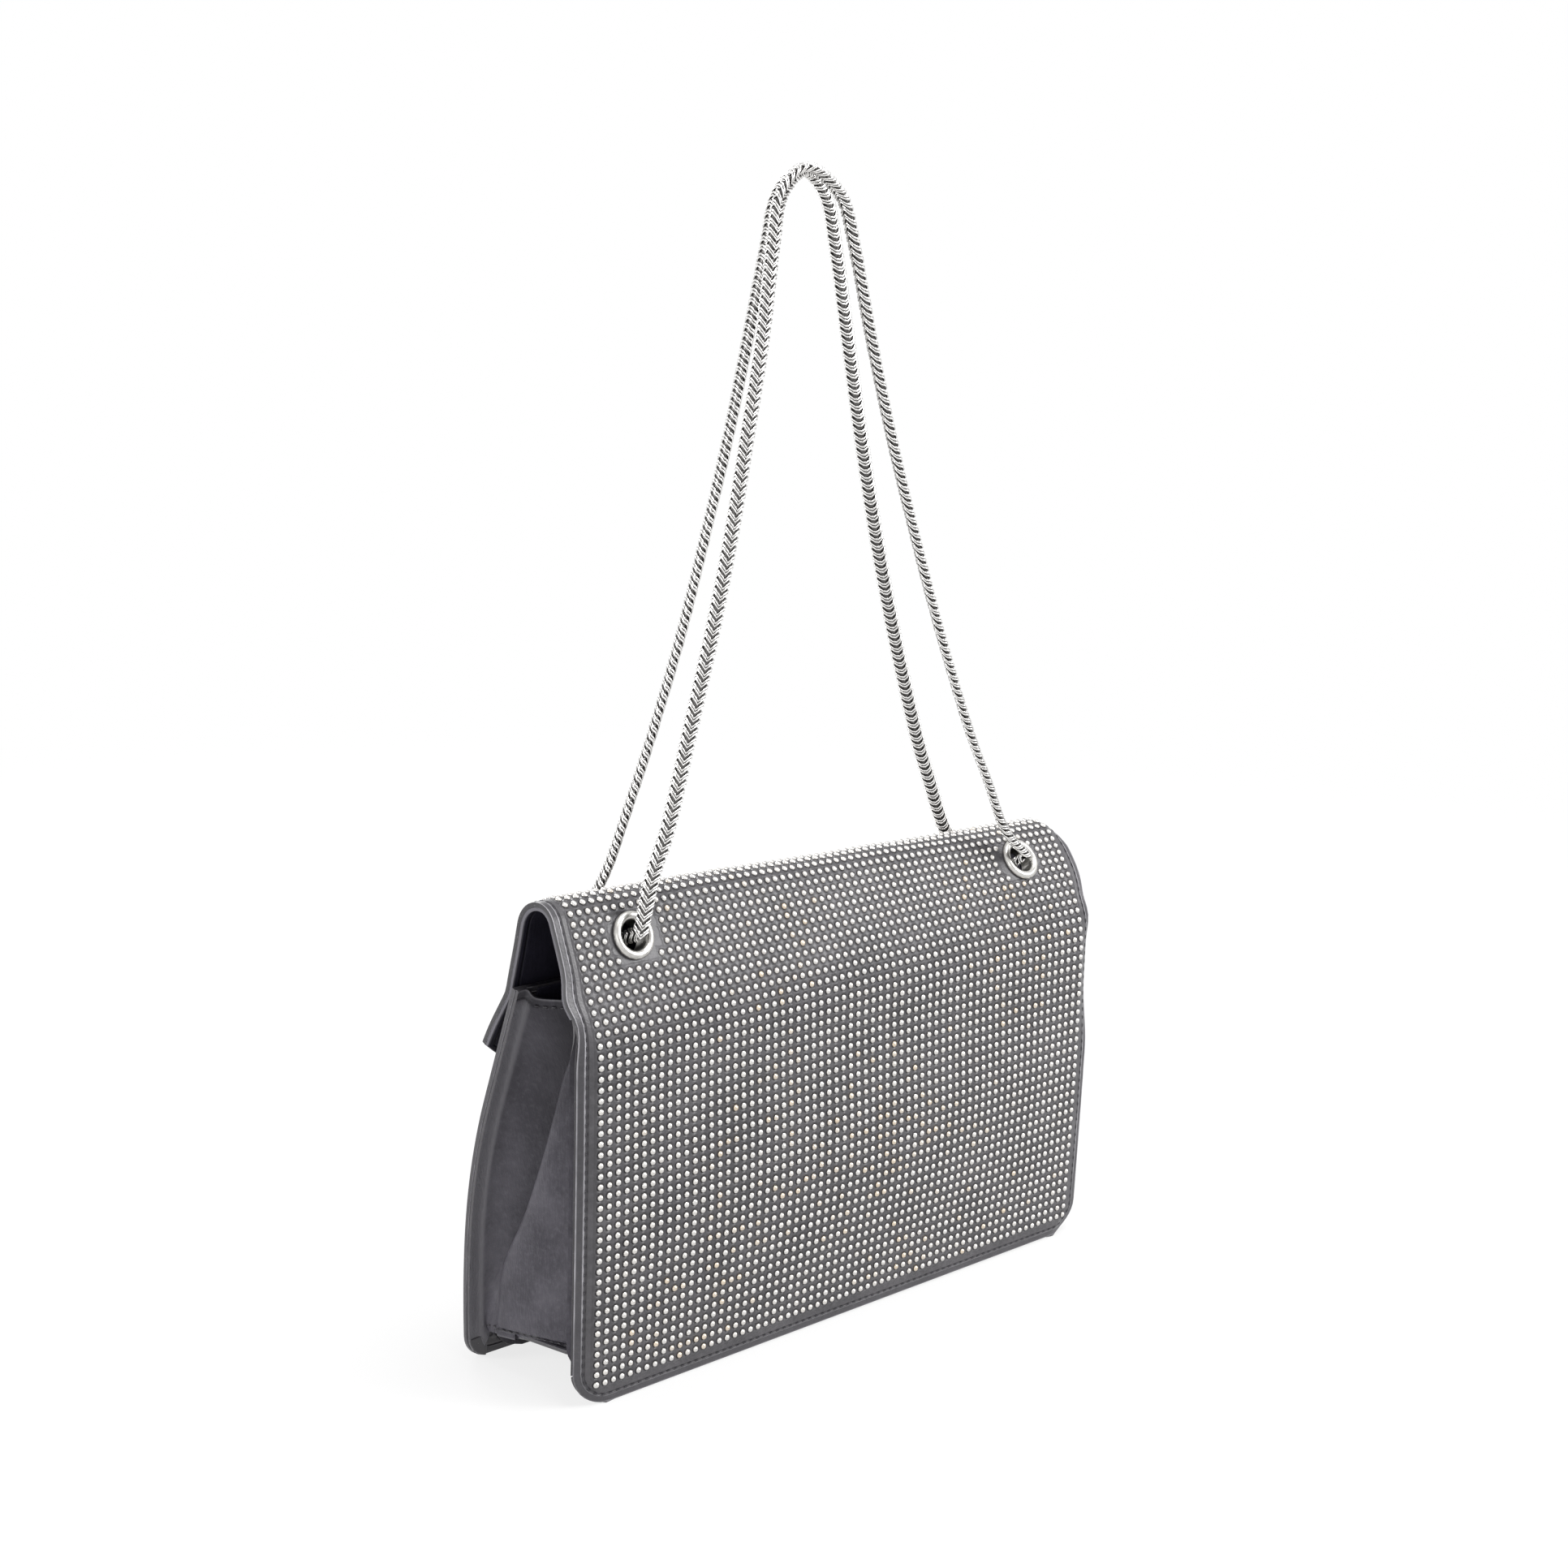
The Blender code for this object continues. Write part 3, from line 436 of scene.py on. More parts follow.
archForm = {
    "backLean": math.radians(21.8), "backLeg": 0.0342,
    "crestBackRadius": 0.0097, "crestFrontRadius": 0.013,
    "frontLean": math.radians(13.5), "frontLeg": 0.0256,
    "lipRadius": 0.012, "lipFlare": math.radians(34.0),
    "flareRun": 0.010, "tipRun": 0.014, "sweep": 0.052, "closing": math.radians(33.0),
    "sag": 0.0075, "shift": 0.003, "ripple": 0.00036,
    "sway": 0.0024, "farSway": 0.0020, "swayLength": 0.0065, "swayFrom": 0.122, "swayWidth": 0.016,
    "nearCurl": 0.0005, "farCurl": 0.0036, "farLegCurl": 0.0006,
}

frontForm = {
    "lean": math.radians(4.0), "belly": 0.045, "bellyTurn": math.radians(7.0), "slope": 0.062,
    "slopeTurn": math.radians(16.5), "mouth": 0.048, "clearance": 0.0022, "studHeight": 0.112,
    "studsHidden": 0.009, "studdedHalf": 0.131,
}

baseForm = {
    "leather": 0.0015, "flange": 0.008, "bend": 0.010, "fall": math.radians(5.0),
    "inset": 0.004, "flangeInset": 0.001, "tuckedEnd": 0.0009, "liningInset": 0.018,
}

quarter = math.pi / 2


def walkPath(path, distance):
    depth, height, heading, runs = path
    for length, turn in runs:
        step = min(distance, length)
        swing = turn * step / length
        if abs(swing) < 0.0002:
            depth += step * math.cos(heading)
            height += step * math.sin(heading)
        else:
            radius = step / swing
            depth += radius * (math.sin(heading + swing) - math.sin(heading))
            height += radius * (math.cos(heading) - math.cos(heading + swing))
        heading += swing
        distance -= step
        if distance <= 0:
            break
    return depth, height, heading


def besidePath(path, distance, shift):
    depth, height, heading = walkPath(path, distance)
    return depth - shift * math.sin(heading), height + shift * math.cos(heading)


def runAtHeight(path, low, high, shift, target):
    rising = besidePath(path, high, shift)[1] > besidePath(path, low, shift)[1]
    for halving in range(40):
        middle = (low + high) / 2
        if (besidePath(path, middle, shift)[1] < target) == rising:
            low = middle
        else:
            high = middle
    return (low + high) / 2


crestBackRun = archForm["crestBackRadius"] * (quarter - archForm["backLean"])
crestFrontRun = archForm["crestFrontRadius"] * (quarter - archForm["frontLean"])
shellPath = (0.0, 0.0, quarter, [
    (bagForm["straight"], 0.0),
    (bagForm["foldRadius"] * archForm["backLean"], -archForm["backLean"]),
    (archForm["backLeg"], 0.0),
    (crestBackRun, archForm["backLean"] - quarter),
    (crestFrontRun, archForm["frontLean"] - quarter),
    (archForm["frontLeg"], 0.0),
    (archForm["lipRadius"] * (archForm["lipFlare"] - archForm["frontLean"]),
     archForm["lipFlare"] - archForm["frontLean"]),
    (archForm["flareRun"], 0.0),
    (archForm["tipRun"] + archForm["sweep"], -archForm["closing"]),
])
foldAt = bagForm["straight"] + bagForm["foldRadius"] * archForm["backLean"]
crestStart = foldAt + archForm["backLeg"]
crestEnd = crestStart + crestBackRun + crestFrontRun
lipAt = crestEnd + archForm["frontLeg"]
flapEnd = sum(length for length, turn in shellPath[3])
tipAt = flapEnd - archForm["sweep"]
edgeRadius = (bagForm["backHalf"] ** 2 + archForm["sweep"] ** 2) / (2 * archForm["sweep"])
doubled = bagForm["leather"] + bagForm["gap"] + bagForm["lining"]
backFaceY = (walkPath(shellPath, flapEnd)[0] - bagForm["backSwell"]) / 2

frontRuns = [
    (frontForm["belly"], frontForm["bellyTurn"]),
    (frontForm["slope"], frontForm["slopeTurn"]),
    (frontForm["mouth"], 0.0),
]
frontLength = sum(length for length, turn in frontRuns)
frontHeading = quarter - frontForm["lean"]
mouthShift, frontTop = walkPath((0.0, 0.0, frontHeading, frontRuns), frontLength)[:2]
lipRun = runAtHeight(shellPath, crestEnd, tipAt, -doubled, frontTop)
frontFoot = besidePath(shellPath, lipRun, -doubled)[0] - frontForm["clearance"] - mouthShift
frontPath = (frontFoot, 0.0, frontHeading, frontRuns)

baseTurn = quarter + baseForm["fall"]
baseFrontTurn = quarter - baseForm["fall"] + frontForm["lean"]


def makeBasePath():
    start = bagForm["leather"] + bagForm["gap"]
    bends = [(baseForm["flange"], 0.0), (baseForm["bend"] * baseTurn, -baseTurn),
             (baseForm["bend"] * baseFrontTurn, -baseFrontTurn)]
    depth, height, heading = walkPath((start, 0.0, quarter, bends), math.inf)
    rise = math.cos(frontForm["lean"])
    lean = math.sin(frontForm["lean"])
    fall = baseForm["fall"]
    span = frontFoot - start / rise - depth + height * lean / rise
    level = span / (math.cos(fall) + math.sin(fall) * lean / rise)
    flange = (height - level * math.sin(fall)) / rise
    return (start, 0.0, quarter, [bends[0], bends[1], (level, 0.0), bends[2], (flange, 0.0)])


basePath = makeBasePath()
baseLength = sum(length for length, turn in basePath[3])
frontFlange = basePath[3][-1][0]


def ease(value):
    share = min(1.0, max(0.0, value))
    return share * share * (3 - 2 * share)


def place(x, depth, height):
    # the back's foot is tucked in a little, more at its far end, where the side margin bends in less
    low = max(0.0, 1 - height / bagForm["straight"]) ** 1.5 * max(0.0, 1 - depth / frontFoot)
    end = (bagForm["backHalf"] - x) / (2 * bagForm["backHalf"])
    tuck = low * (bagForm["footTuck"] + bagForm["farTuck"] * end)
    outer = max(0.0, 1 - (bagForm["backHalf"] + x) / bagForm["margin"]) ** bagForm["marginPower"]
    below = ease((bagForm["farMarginTop"] - height) / 0.03)
    within = ease((bagForm["farMarginDepth"] - depth) / 0.005)
    outer *= bagForm["farMargin"] * below * within
    return Vector((x, backFaceY - depth - tuck + outer, height + 0.2 * tuck))


def roundedHalf(half, radius, height, inset=0.0):
    if height < radius:
        return half - radius + math.sqrt(max((radius - inset) ** 2 - (radius - height) ** 2, 0.0))
    return half - inset


def backHalf(height, inset=0.0):
    return roundedHalf(bagForm["backHalf"], bagForm["backCorner"], height, inset)


def frontHalf(height, inset=0.0):
    half = bagForm["frontHalf"] - bagForm["frontTaper"] * height / frontTop
    return roundedHalf(half, bagForm["frontCorner"], height, inset)


def marginDepth(x, run):
    half = backHalf(run)
    into = max(0.0, (abs(x) - half) / bagForm["margin"] + 1)
    left = min(1.0, (foldAt - run) / (foldAt - bagForm["straight"]))
    foldEase = max(left, 0.0) ** 2 * (3 - 2 * left)
    cornerEase = 1 - (bagForm["backHalf"] - half) / bagForm["backCorner"]
    return bagForm["marginBend"] * foldEase * cornerEase * into ** bagForm["marginPower"]


def edgeWave(x, run):
    # the free edge sways at the fold and curls under on the arch, more at the far end
    form = archForm
    near = min(1.0, max(0.0, (abs(x) - form["swayFrom"]) / form["swayWidth"])) ** 2
    if x > 0:
        sway = form["sway"] * math.exp(-((run - foldAt - 0.006) / form["swayLength"]) ** 2)
        curl = form["nearCurl"]
    else:
        sway = form["farSway"] * math.exp(-((run - foldAt - 0.001) / form["swayLength"]) ** 2)
        upward = ease((run - crestStart + 0.008) / 0.014)
        curl = form["farLegCurl"] + (form["farCurl"] - form["farLegCurl"]) * upward
    outer = max(0.0, 1 - (bagForm["backHalf"] - abs(x)) / bagForm["margin"]) ** bagForm["marginPower"]
    outer *= ease((run - foldAt) / 0.012) * ease((lipAt - run) / 0.02)
    return near * sway, -outer * curl


def swell(across, along):
    return math.sin(math.pi * min(max(along, 0.0), 1.0)) ** 2 * (1.0 - across ** 2)


def ripple(x, run):
    # the soft leather's slight unevenness, none at its edges
    calm = min(1.0, max(0.0, (bagForm["backHalf"] - abs(x)) / 0.03)) * min(1.0, run / 0.03)
    calm *= min(1.0, max(0.0, (flapEnd - run) / 0.03))
    broad = noise.noise(Vector((x * 21.0, run * 26.0, 1.7)))
    fine = noise.noise(Vector((x * 55.0, run * 60.0, 4.1)))
    return archForm["ripple"] * calm * (broad + 0.6 * fine)


def shellSpot(x, run, inward=0.0):
    # a point of the back and flap leather
    depth, height, heading = walkPath(shellPath, run)
    along = (run - foldAt) / (lipAt - foldAt)
    aside, lift = edgeWave(x, run)
    out = ripple(x, run) - inward + lift
    if run <= foldAt:
        out += bagForm["backSwell"] * swell(x / bagForm["backHalf"], run / bagForm["straight"])
        depth += marginDepth(x, run)
    elif along < 1:
        end = (bagForm["backHalf"] - x) / (2 * bagForm["backHalf"])
        angle = math.pi * along
        slope = 3 * math.sin(angle) ** 2 * math.cos(angle) * math.pi / (lipAt - foldAt)
        ahead = math.cos(heading) + archForm["shift"] * end * slope
        rise = math.sin(heading) - archForm["sag"] * end * slope
        depth += archForm["shift"] * end * math.sin(angle) ** 3
        height -= archForm["sag"] * end * math.sin(angle) ** 3
        heading = math.atan2(rise, ahead)
    return place(x + aside, depth - out * math.sin(heading), height + out * math.cos(heading))


def frontSpot(x, run, inward=0.0):
    share = swell(x / bagForm["frontHalf"], run / frontLength)
    out = bagForm["frontSwell"] * share - inward
    out += ripple(x, run + 0.4) * min(1.0, run / 0.03)
    return place(x, *besidePath(frontPath, run, -out))


def normalAt(spot, x, run, turn):
    # the outward direction of a surface: turn is 1 for the back and flap, -1 for the front panel
    step = 0.0004
    sideways = spot(x + step, run) - spot(x - step, run)
    ahead = spot(x, run + step) - spot(x, run - step)
    return (ahead.cross(sideways) * turn).normalized()


def edgeSweep(x):
    return math.sqrt(edgeRadius ** 2 - x ** 2) - (edgeRadius - archForm["sweep"])


eyeletForm = {
    "fromSide": 0.033, "fromCrest": 0.0095, "cut": 0.0072,
    "hole": 0.0056, "outer": 0.009, "rise": 0.0021, "wall": 0.0008, "standoff": 0.0048,
    "washer": 0.0084, "washerThick": 0.0007, "washerGap": 0.0008,
    "bareInward": 0.0008, "bareHalf": 0.0134, "bareRun": 0.0100,
}
eyeletX = bagForm["backHalf"] - eyeletForm["fromSide"]
eyeletRuns = {"back": crestStart - eyeletForm["fromCrest"], "front": crestEnd + eyeletForm["fromCrest"]}


def sideFrame(x, run):
    # a frame on the leather whose Z axis points straight out of it
    ahead = (smoothSpot(x, run + 0.0002) - smoothSpot(x, run - 0.0002)).normalized()
    sideways = Vector((1.0, 0.0, 0.0))
    out = ahead.cross(sideways).normalized()
    result = Matrix((sideways, out.cross(sideways), out)).transposed().to_4x4()
    result.translation = smoothSpot(x, run)
    return result


def smoothSpot(x, run):
    # the shell without its ripple
    return shellSpot(x, run, ripple(x, run))


def bareAround(x, run):
    # inside the plain patch round an eyelet
    for eyeletRun in eyeletRuns.values():
        across = (abs(x) - (eyeletX - eyeletForm["bareInward"])) / eyeletForm["bareHalf"]
        along = (run - eyeletRun) / eyeletForm["bareRun"]
        if across ** 2 + along ** 2 < 1:
            return True
    return False


# Modelling helpers

rearward = Vector((0, 1, 0))
forward = Vector((0, -1, 0))


def addObject(name, bm, finishes):
    mesh = bpy.data.meshes.new(name)
    bm.to_mesh(mesh)
    bm.free()
    mesh.shade_smooth()
    for finish in finishes:
        mesh.materials.append(looks[finish])
    item = bpy.data.objects.new(name, mesh)
    bpy.context.scene.collection.objects.link(item)
    return item


def settle(item):
    # applies the piece's modifiers
    graph = bpy.context.evaluated_depsgraph_get()
    mesh = bpy.data.meshes.new_from_object(item.evaluated_get(graph))
    item.modifiers.clear()
    item.data = mesh
    return item


def makeSheet(name, columns, rows, spot, thickness, finishes, facing, rimRound=0.00045,
              tones=None, wrinkle=None, trim=None, even=True):
    # a grid laid on a surface as its outer side, thickened behind, with rounded painted edges
    bm = bmesh.new()
    panelMap = bm.loops.layers.uv.new("panelMap")
    layers = {key: bm.verts.layers.float.new(key) for key in (tones or {})}
    cells, lines = len(columns) - 1, len(rows) - 1
    bmesh.ops.create_grid(bm, x_segments=cells, y_segments=lines, size=1)
    spots = {}
    for vert in bm.verts:
        column = columns[round((vert.co.x + 1) / 2 * cells)]
        row = rows[round((vert.co.y + 1) / 2 * lines)]
        vert.co, spots[vert] = spot(column, row)
        for key, tone in (tones or {}).items():
            vert[layers[key]] = tone(*spots[vert])
    for face in bm.faces:
        for loop in face.loops:
            loop[panelMap].uv = spots[loop.vert]
    bm.normal_update()
    bm.faces.ensure_lookup_table()
    if bm.faces[0].normal.dot(facing) < 0:
        bmesh.ops.reverse_faces(bm, faces=bm.faces[:])
        bm.normal_update()
    if wrinkle:
        for vert in bm.verts:
            vert.co += vert.normal * wrinkle(*spots[vert], vert.co)
    if trim:
        trim(bm, spots)
    item = addObject(name, bm, finishes)
    solid = item.modifiers.new("thickness", "SOLIDIFY")
    solid.thickness = thickness
    solid.offset = -1
    solid.use_even_offset = even
    solid.material_offset_rim = len(finishes) - 1
    rim = item.modifiers.new("rim", "BEVEL")
    rim.limit_method = "ANGLE"
    rim.angle_limit = math.radians(50)
    rim.width = rimRound
    rim.segments = 3
    return settle(item)


def spinProfile(name, profile, matrix, finish, steps=72):
    # a closed or axis-to-axis outline of radius and height, spun about the matrix's Z axis
    bm = bmesh.new()
    dots = [bm.verts.new((radius, 0.0, height)) for radius, height in profile]
    lines = [bm.edges.new(pair) for pair in zip(dots, dots[1:])]
    if profile[0][0] > 0:
        lines.append(bm.edges.new((dots[-1], dots[0])))
    bmesh.ops.spin(bm, geom=dots + lines, cent=(0, 0, 0), axis=(0, 0, 1), angle=2 * math.pi, steps=steps,
                   use_merge=True)
    bmesh.ops.remove_doubles(bm, verts=bm.verts, dist=0.00001)
    bmesh.ops.recalc_face_normals(bm, faces=bm.faces)
    bmesh.ops.transform(bm, matrix=matrix, verts=bm.verts)
    return addObject(name, bm, [finish])


def arc(centreR, centreZ, radiusR, radiusZ, first, last, steps):
    # points of an oval arc, angles in degrees from the outward radius
    points = []
    for step in range(steps + 1):
        angle = math.radians(first + (last - first) * step / steps)
        points.append((centreR + radiusR * math.cos(angle), centreZ + radiusZ * math.sin(angle)))
    return points


def scatter(name, template, matrices, finish, toneName=None, tones=None):
    # one mesh of many small copies of a template bmesh, copied in short lots because long ones are slow
    seed = bpy.data.meshes.new("seed")
    template.to_mesh(seed)
    whole = bmesh.new()
    for first in range(0, len(matrices), 40):
        lot = bmesh.new()
        lot.from_mesh(seed)
        layer = lot.verts.layers.float[toneName] if toneName else None
        source = lot.verts[:] + lot.edges[:] + lot.faces[:]
        sourceVerts = lot.verts[:]
        for index in range(first, min(first + 40, len(matrices))):
            copied = bmesh.ops.duplicate(lot, geom=source)["geom"]
            verts = [part for part in copied if isinstance(part, bmesh.types.BMVert)]
            bmesh.ops.transform(lot, matrix=matrices[index], verts=verts)
            if tones:
                for vert in verts:
                    vert[layer] = tones[index]
        bmesh.ops.delete(lot, geom=sourceVerts, context="VERTS")
        done = bpy.data.meshes.new("lot")
        lot.to_mesh(done)
        lot.free()
        whole.from_mesh(done)
        bpy.data.meshes.remove(done)
    bpy.data.meshes.remove(seed)
    return addObject(name, whole, [finish])


def evenShares(count):
    return [2 * step / count - 1 for step in range(count + 1)]


def edgeShares(half, count, insets=(0.0, 0.0009, 0.0019, 0.003, 0.0042, 0.0054, 0.0066, 0.0078)):
    # across shares, close together near both sides
    near = [1 - inset / half for inset in insets]
    middle = [near[-1] * share for share in evenShares(count)]
    return [-share for share in near] + middle[1:-1] + near[::-1]


def cornerRuns(radius, steps=7):
    return [radius * (1 - math.cos(quarter * step / steps)) for step in range(steps)]


def runsBetween(first, last, longest):
    count = max(1, math.ceil((last - first) / longest))
    return [first + (last - first) * step / count for step in range(count + 1)]


def sweepRuns(first, count):
    # the rows of the flap's curved free edge
    return [first + archForm["sweep"] * step / count for step in range(1, count + 1)]


# Back and flap leather: one skin that folds over the bag

hinge = {"lean": math.radians(20.0), "reach": 0.0055}
foldSpot = place(0.0, *walkPath(shellPath, foldAt)[:2])
hingeLine = Vector((0.0, -math.cos(hinge["lean"]), math.sin(hinge["lean"])))
hingeStart = foldSpot - hingeLine * hinge["reach"]
hingeEnd = foldSpot + hingeLine * hinge["reach"]


def bendAtFold(item):
    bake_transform(item, "body", "flap", start=tuple(hingeStart), end=tuple(hingeEnd))


skinForm = {
    "acrossCells": 84, "cornerRows": 9, "rowStep": 0.0034, "archStep": 0.0022, "legStep": 0.0028,
    "edgeRows": 16, "rimRows": (0.0022, 0.0010), "bareEdge": 0.0075,
}


def aroundHoles(x, run):
    # leather points inside an eyelet's hole are pushed out to its edge
    for eyeletRun in eyeletRuns.values():
        away = Vector((abs(x) - eyeletX, run - eyeletRun))
        if away.length < eyeletForm["cut"]:
            if away.length == 0:
                away = Vector((1.0, 0.0))
            away = away.normalized() * eyeletForm["cut"]
            return math.copysign(eyeletX + away.x, x), eyeletRun + away.y
    return x, run


def openHoles(bm, spots):
    # drops the faces that lie wholly on a hole's edge
    reach = eyeletForm["cut"] + 0.00001

    def onHole(vert, eyeletRun):
        x, run = spots[vert]
        return math.hypot(abs(x) - eyeletX, run - eyeletRun) < reach

    shut = []
    for face in bm.faces:
        for eyeletRun in eyeletRuns.values():
            if all(onHole(vert, eyeletRun) for vert in face.verts):
                shut.append(face)
                break
    bmesh.ops.delete(bm, geom=shut, context="FACES")


def skinSpot(share, run, inward=0.0, inset=0.0):
    if run < foldAt:
        x = share * backHalf(walkPath(shellPath, run)[1], inset)
    else:
        x = share * (bagForm["backHalf"] - inset)
    last = tipAt - inset
    if run > last:
        run = last + (run - last) / archForm["sweep"] * edgeSweep(share * bagForm["backHalf"])
    x, run = aroundHoles(x, run)
    return shellSpot(x, run, inward), (x, run)


def skinEdge(x, run):
    # distance from the leather's outline
    side = bagForm["backHalf"] - abs(x)
    corner = bagForm["backCorner"]
    if run < corner and side < corner:
        return corner - math.hypot(corner - run, corner - side)
    if run > foldAt:
        return min(side, tipAt + edgeSweep(x) - run)
    return min(side, run)


def studHere(x, run):
    lastX = studLattice["pitch"] * (studLattice["columns"] - 1) / 2
    if abs(x) > lastX + studLattice["slack"] or run < studLattice["firstRow"] - studLattice["slack"]:
        return False
    return run < tipAt + edgeSweep(x) - skinForm["bareEdge"] and not bareAround(x, run)


def nearestStud(x, run):
    pitch = studLattice["pitch"]
    return (math.floor(x / pitch) + 0.5) * pitch, round(run / pitch) * pitch


def studdedTone(x, run):
    return float(studHere(*nearestStud(x, run)))


def makeSkin():
    corner = bagForm["backCorner"]
    runs = set(cornerRuns(corner, skinForm["cornerRows"]))
    runs.update(runsBetween(corner, foldAt, skinForm["rowStep"]))
    runs.update(runsBetween(foldAt, lipAt, skinForm["archStep"])[1:])
    runs.update(runsBetween(lipAt, tipAt, skinForm["legStep"])[1:])
    runs.update(sweepRuns(tipAt, skinForm["edgeRows"]))
    runs.update(flapEnd - inset for inset in skinForm["rimRows"])
    columns = edgeShares(bagForm["backHalf"], skinForm["acrossCells"])
    tones = {"studded": studdedTone, "edgeRun": skinEdge}
    skin = makeSheet("bagSkin", columns, sorted(runs), skinSpot, bagForm["leather"],
                     ["studded", "skinEdge"], rearward, tones=tones, trim=openHoles)
    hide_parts("back_panel", "flap_leather")
    bendAtFold(skin)


makeSkin()
print("skin made")


# Studs: small domes on a square lattice, a few with worn warm plating

studForm = {
    "radius": 0.00128, "rise": 0.00108, "sunk": 0.00012, "tilt": 0.035, "sizes": (0.96, 1.04),
    "worn": (0.25, 0.6), "fresh": (0.0, 0.1), "splitBelowCrest": 0.002,
}


def domeTemplate():
    bm = bmesh.new()
    bmesh.ops.create_uvsphere(bm, u_segments=9, v_segments=6, radius=studForm["radius"])
    bmesh.ops.bisect_plane(bm, geom=bm.verts[:] + bm.edges[:] + bm.faces[:], plane_co=(0, 0, -0.00001),
                           plane_no=(0, 0, 1), clear_inner=True)
    rise = studForm["rise"] / studForm["radius"]
    bmesh.ops.scale(bm, vec=(1.0, 1.0, rise), verts=bm.verts)
    crown = bm.verts.layers.float.new("crown")
    bm.verts.layers.float.new("warmth")
    for vert in bm.verts:
        vert[crown] = vert.co.z / studForm["rise"]
    bmesh.ops.translate(bm, vec=(0, 0, -studForm["sunk"]), verts=bm.verts)
    return bm


def studMatrix(spot, x, run, turn):
    out = normalAt(spot, x, run, turn)
    out += Vector([dice.uniform(-studForm["tilt"], studForm["tilt"]) for axis in range(3)])
    standing = out.to_track_quat("Z", "Y").to_matrix().to_4x4()
    turned = standing @ Matrix.Rotation(dice.uniform(0, 6.28), 4, "Z")
    sized = Matrix.Scale(dice.uniform(*studForm["sizes"]), 4)
    return Matrix.Translation(spot(x, run)) @ turned @ sized


def warmthAt(x, run):
    # worn plating gathers in patches
    patch = noise.noise(Vector((x * 17.0, run * 17.0, 9.3)))
    patch += 0.45 * noise.noise(Vector((x * 60.0, run * 60.0, 2.0)))
    middle = math.exp(-((x - 0.02) / 0.07) ** 2 - ((run - 0.06) / 0.05) ** 2)
    chance = max(0.01, min(0.75, 0.4 * patch + 0.5 * middle - 0.1))
    if dice.random() < chance:
        return dice.uniform(*studForm["worn"])
    return dice.uniform(*studForm["fresh"])


def latticeSpots(firstRow, lastRow, shown):
    pitch = studLattice["pitch"]
    half = studLattice["columns"] // 2
    places = []
    for row in range(firstRow, lastRow + 1):
        for column in range(-half, half):
            x = (column + 0.5) * pitch
            if shown(x, row * pitch):
                places.append((x, row * pitch))
    return places


def frontStudTop(x):
    # the studs go on a little way under the flap's edge
    height = walkPath(shellPath, tipAt + edgeSweep(x))[1]
    seen = runAtHeight(frontPath, 0.0, frontLength, 0.0, min(height, frontForm["studHeight"]))
    return seen + frontForm["studsHidden"]


def frontStudHere(x, run):
    return studLattice["firstRow"] - studLattice["slack"] < run < frontStudTop(x)


def makeStuds():
    # studs below the crest bend with the fold, those above it ride on the flap
    template = domeTemplate()
    pitch = studLattice["pitch"]
    first = round(studLattice["firstRow"] / pitch)
    split = math.floor((crestStart - studForm["splitBelowCrest"]) / pitch)
    last = math.floor(flapEnd / pitch)
    frontLast = math.floor((frontLength - studLattice["firstRow"]) / pitch)
    fields = [
        ("studsBack", shellSpot, 1, latticeSpots(first, split, studHere), 0.0),
        ("studsFlap", shellSpot, 1, latticeSpots(split + 1, last, studHere), 0.0),
        ("studsFront", frontSpot, -1, latticeSpots(first, frontLast, frontStudHere), 0.5),
    ]
    for name, spot, turn, places, patchShift in fields:
        matrices = [studMatrix(spot, x, run, turn) for x, run in places]
        warmth = [warmthAt(x, run + patchShift) for x, run in places]
        studs = scatter(name, template, matrices, "stud", "warmth", warmth)
        if name == "studsBack":
            bendAtFold(studs)
        else:
            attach(studs, "flap" if name == "studsFlap" else "front")
        print(name, len(places))
    template.free()


makeStuds()
print("studs made")


# Front panel

def frontEdge(x, run):
    side = frontHalf(walkPath(frontPath, run)[1]) - abs(x)
    corner = bagForm["frontCorner"]
    if run < corner and side < corner:
        return corner - math.hypot(corner - run, corner - side)
    return min(side, run, frontLength - run)


def frontPanelSpot(share, run, inward=0.0, inset=0.0):
    x = share * frontHalf(walkPath(frontPath, run)[1], inset)
    return frontSpot(x, run, inward), (x, run)


def frontTone(x, run):
    return float(abs(x) < frontForm["studdedHalf"] and frontStudHere(*nearestStud(x, run)))


def makeFront():
    corner = bagForm["frontCorner"]
    runs = [bagForm["gap"]] + cornerRuns(corner, 7)[1:] + runsBetween(corner, frontLength - 0.002, 0.0035)
    runs += [frontLength - 0.0009, frontLength]
    columns = edgeShares(bagForm["frontHalf"], 76)
    tones = {"studded": frontTone, "edgeRun": frontEdge}
    panel = makeSheet("frontSkin", columns, sorted(runs), frontPanelSpot, bagForm["leather"],
                      ["studded", "edge"], forward, tones=tones)
    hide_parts("front_panel")
    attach(panel, "front")


makeFront()
print("front made")


# Linings: behind the back panel, the front panel and the flap, and the slip pocket

liningForm = {
    "flapThick": 0.0012, "flapGap": 0.0001, "flapInset": 0.0002, "wallThick": 0.0008, "rim": 0.0003,
    "pocketWidth": 0.120, "pocketHeight": 0.070, "pocketFloor": 0.050, "pocketThick": 0.001,
}


def plainEdge(x, run):
    # far from any edge, so that no seam or rub shows
    return 0.02


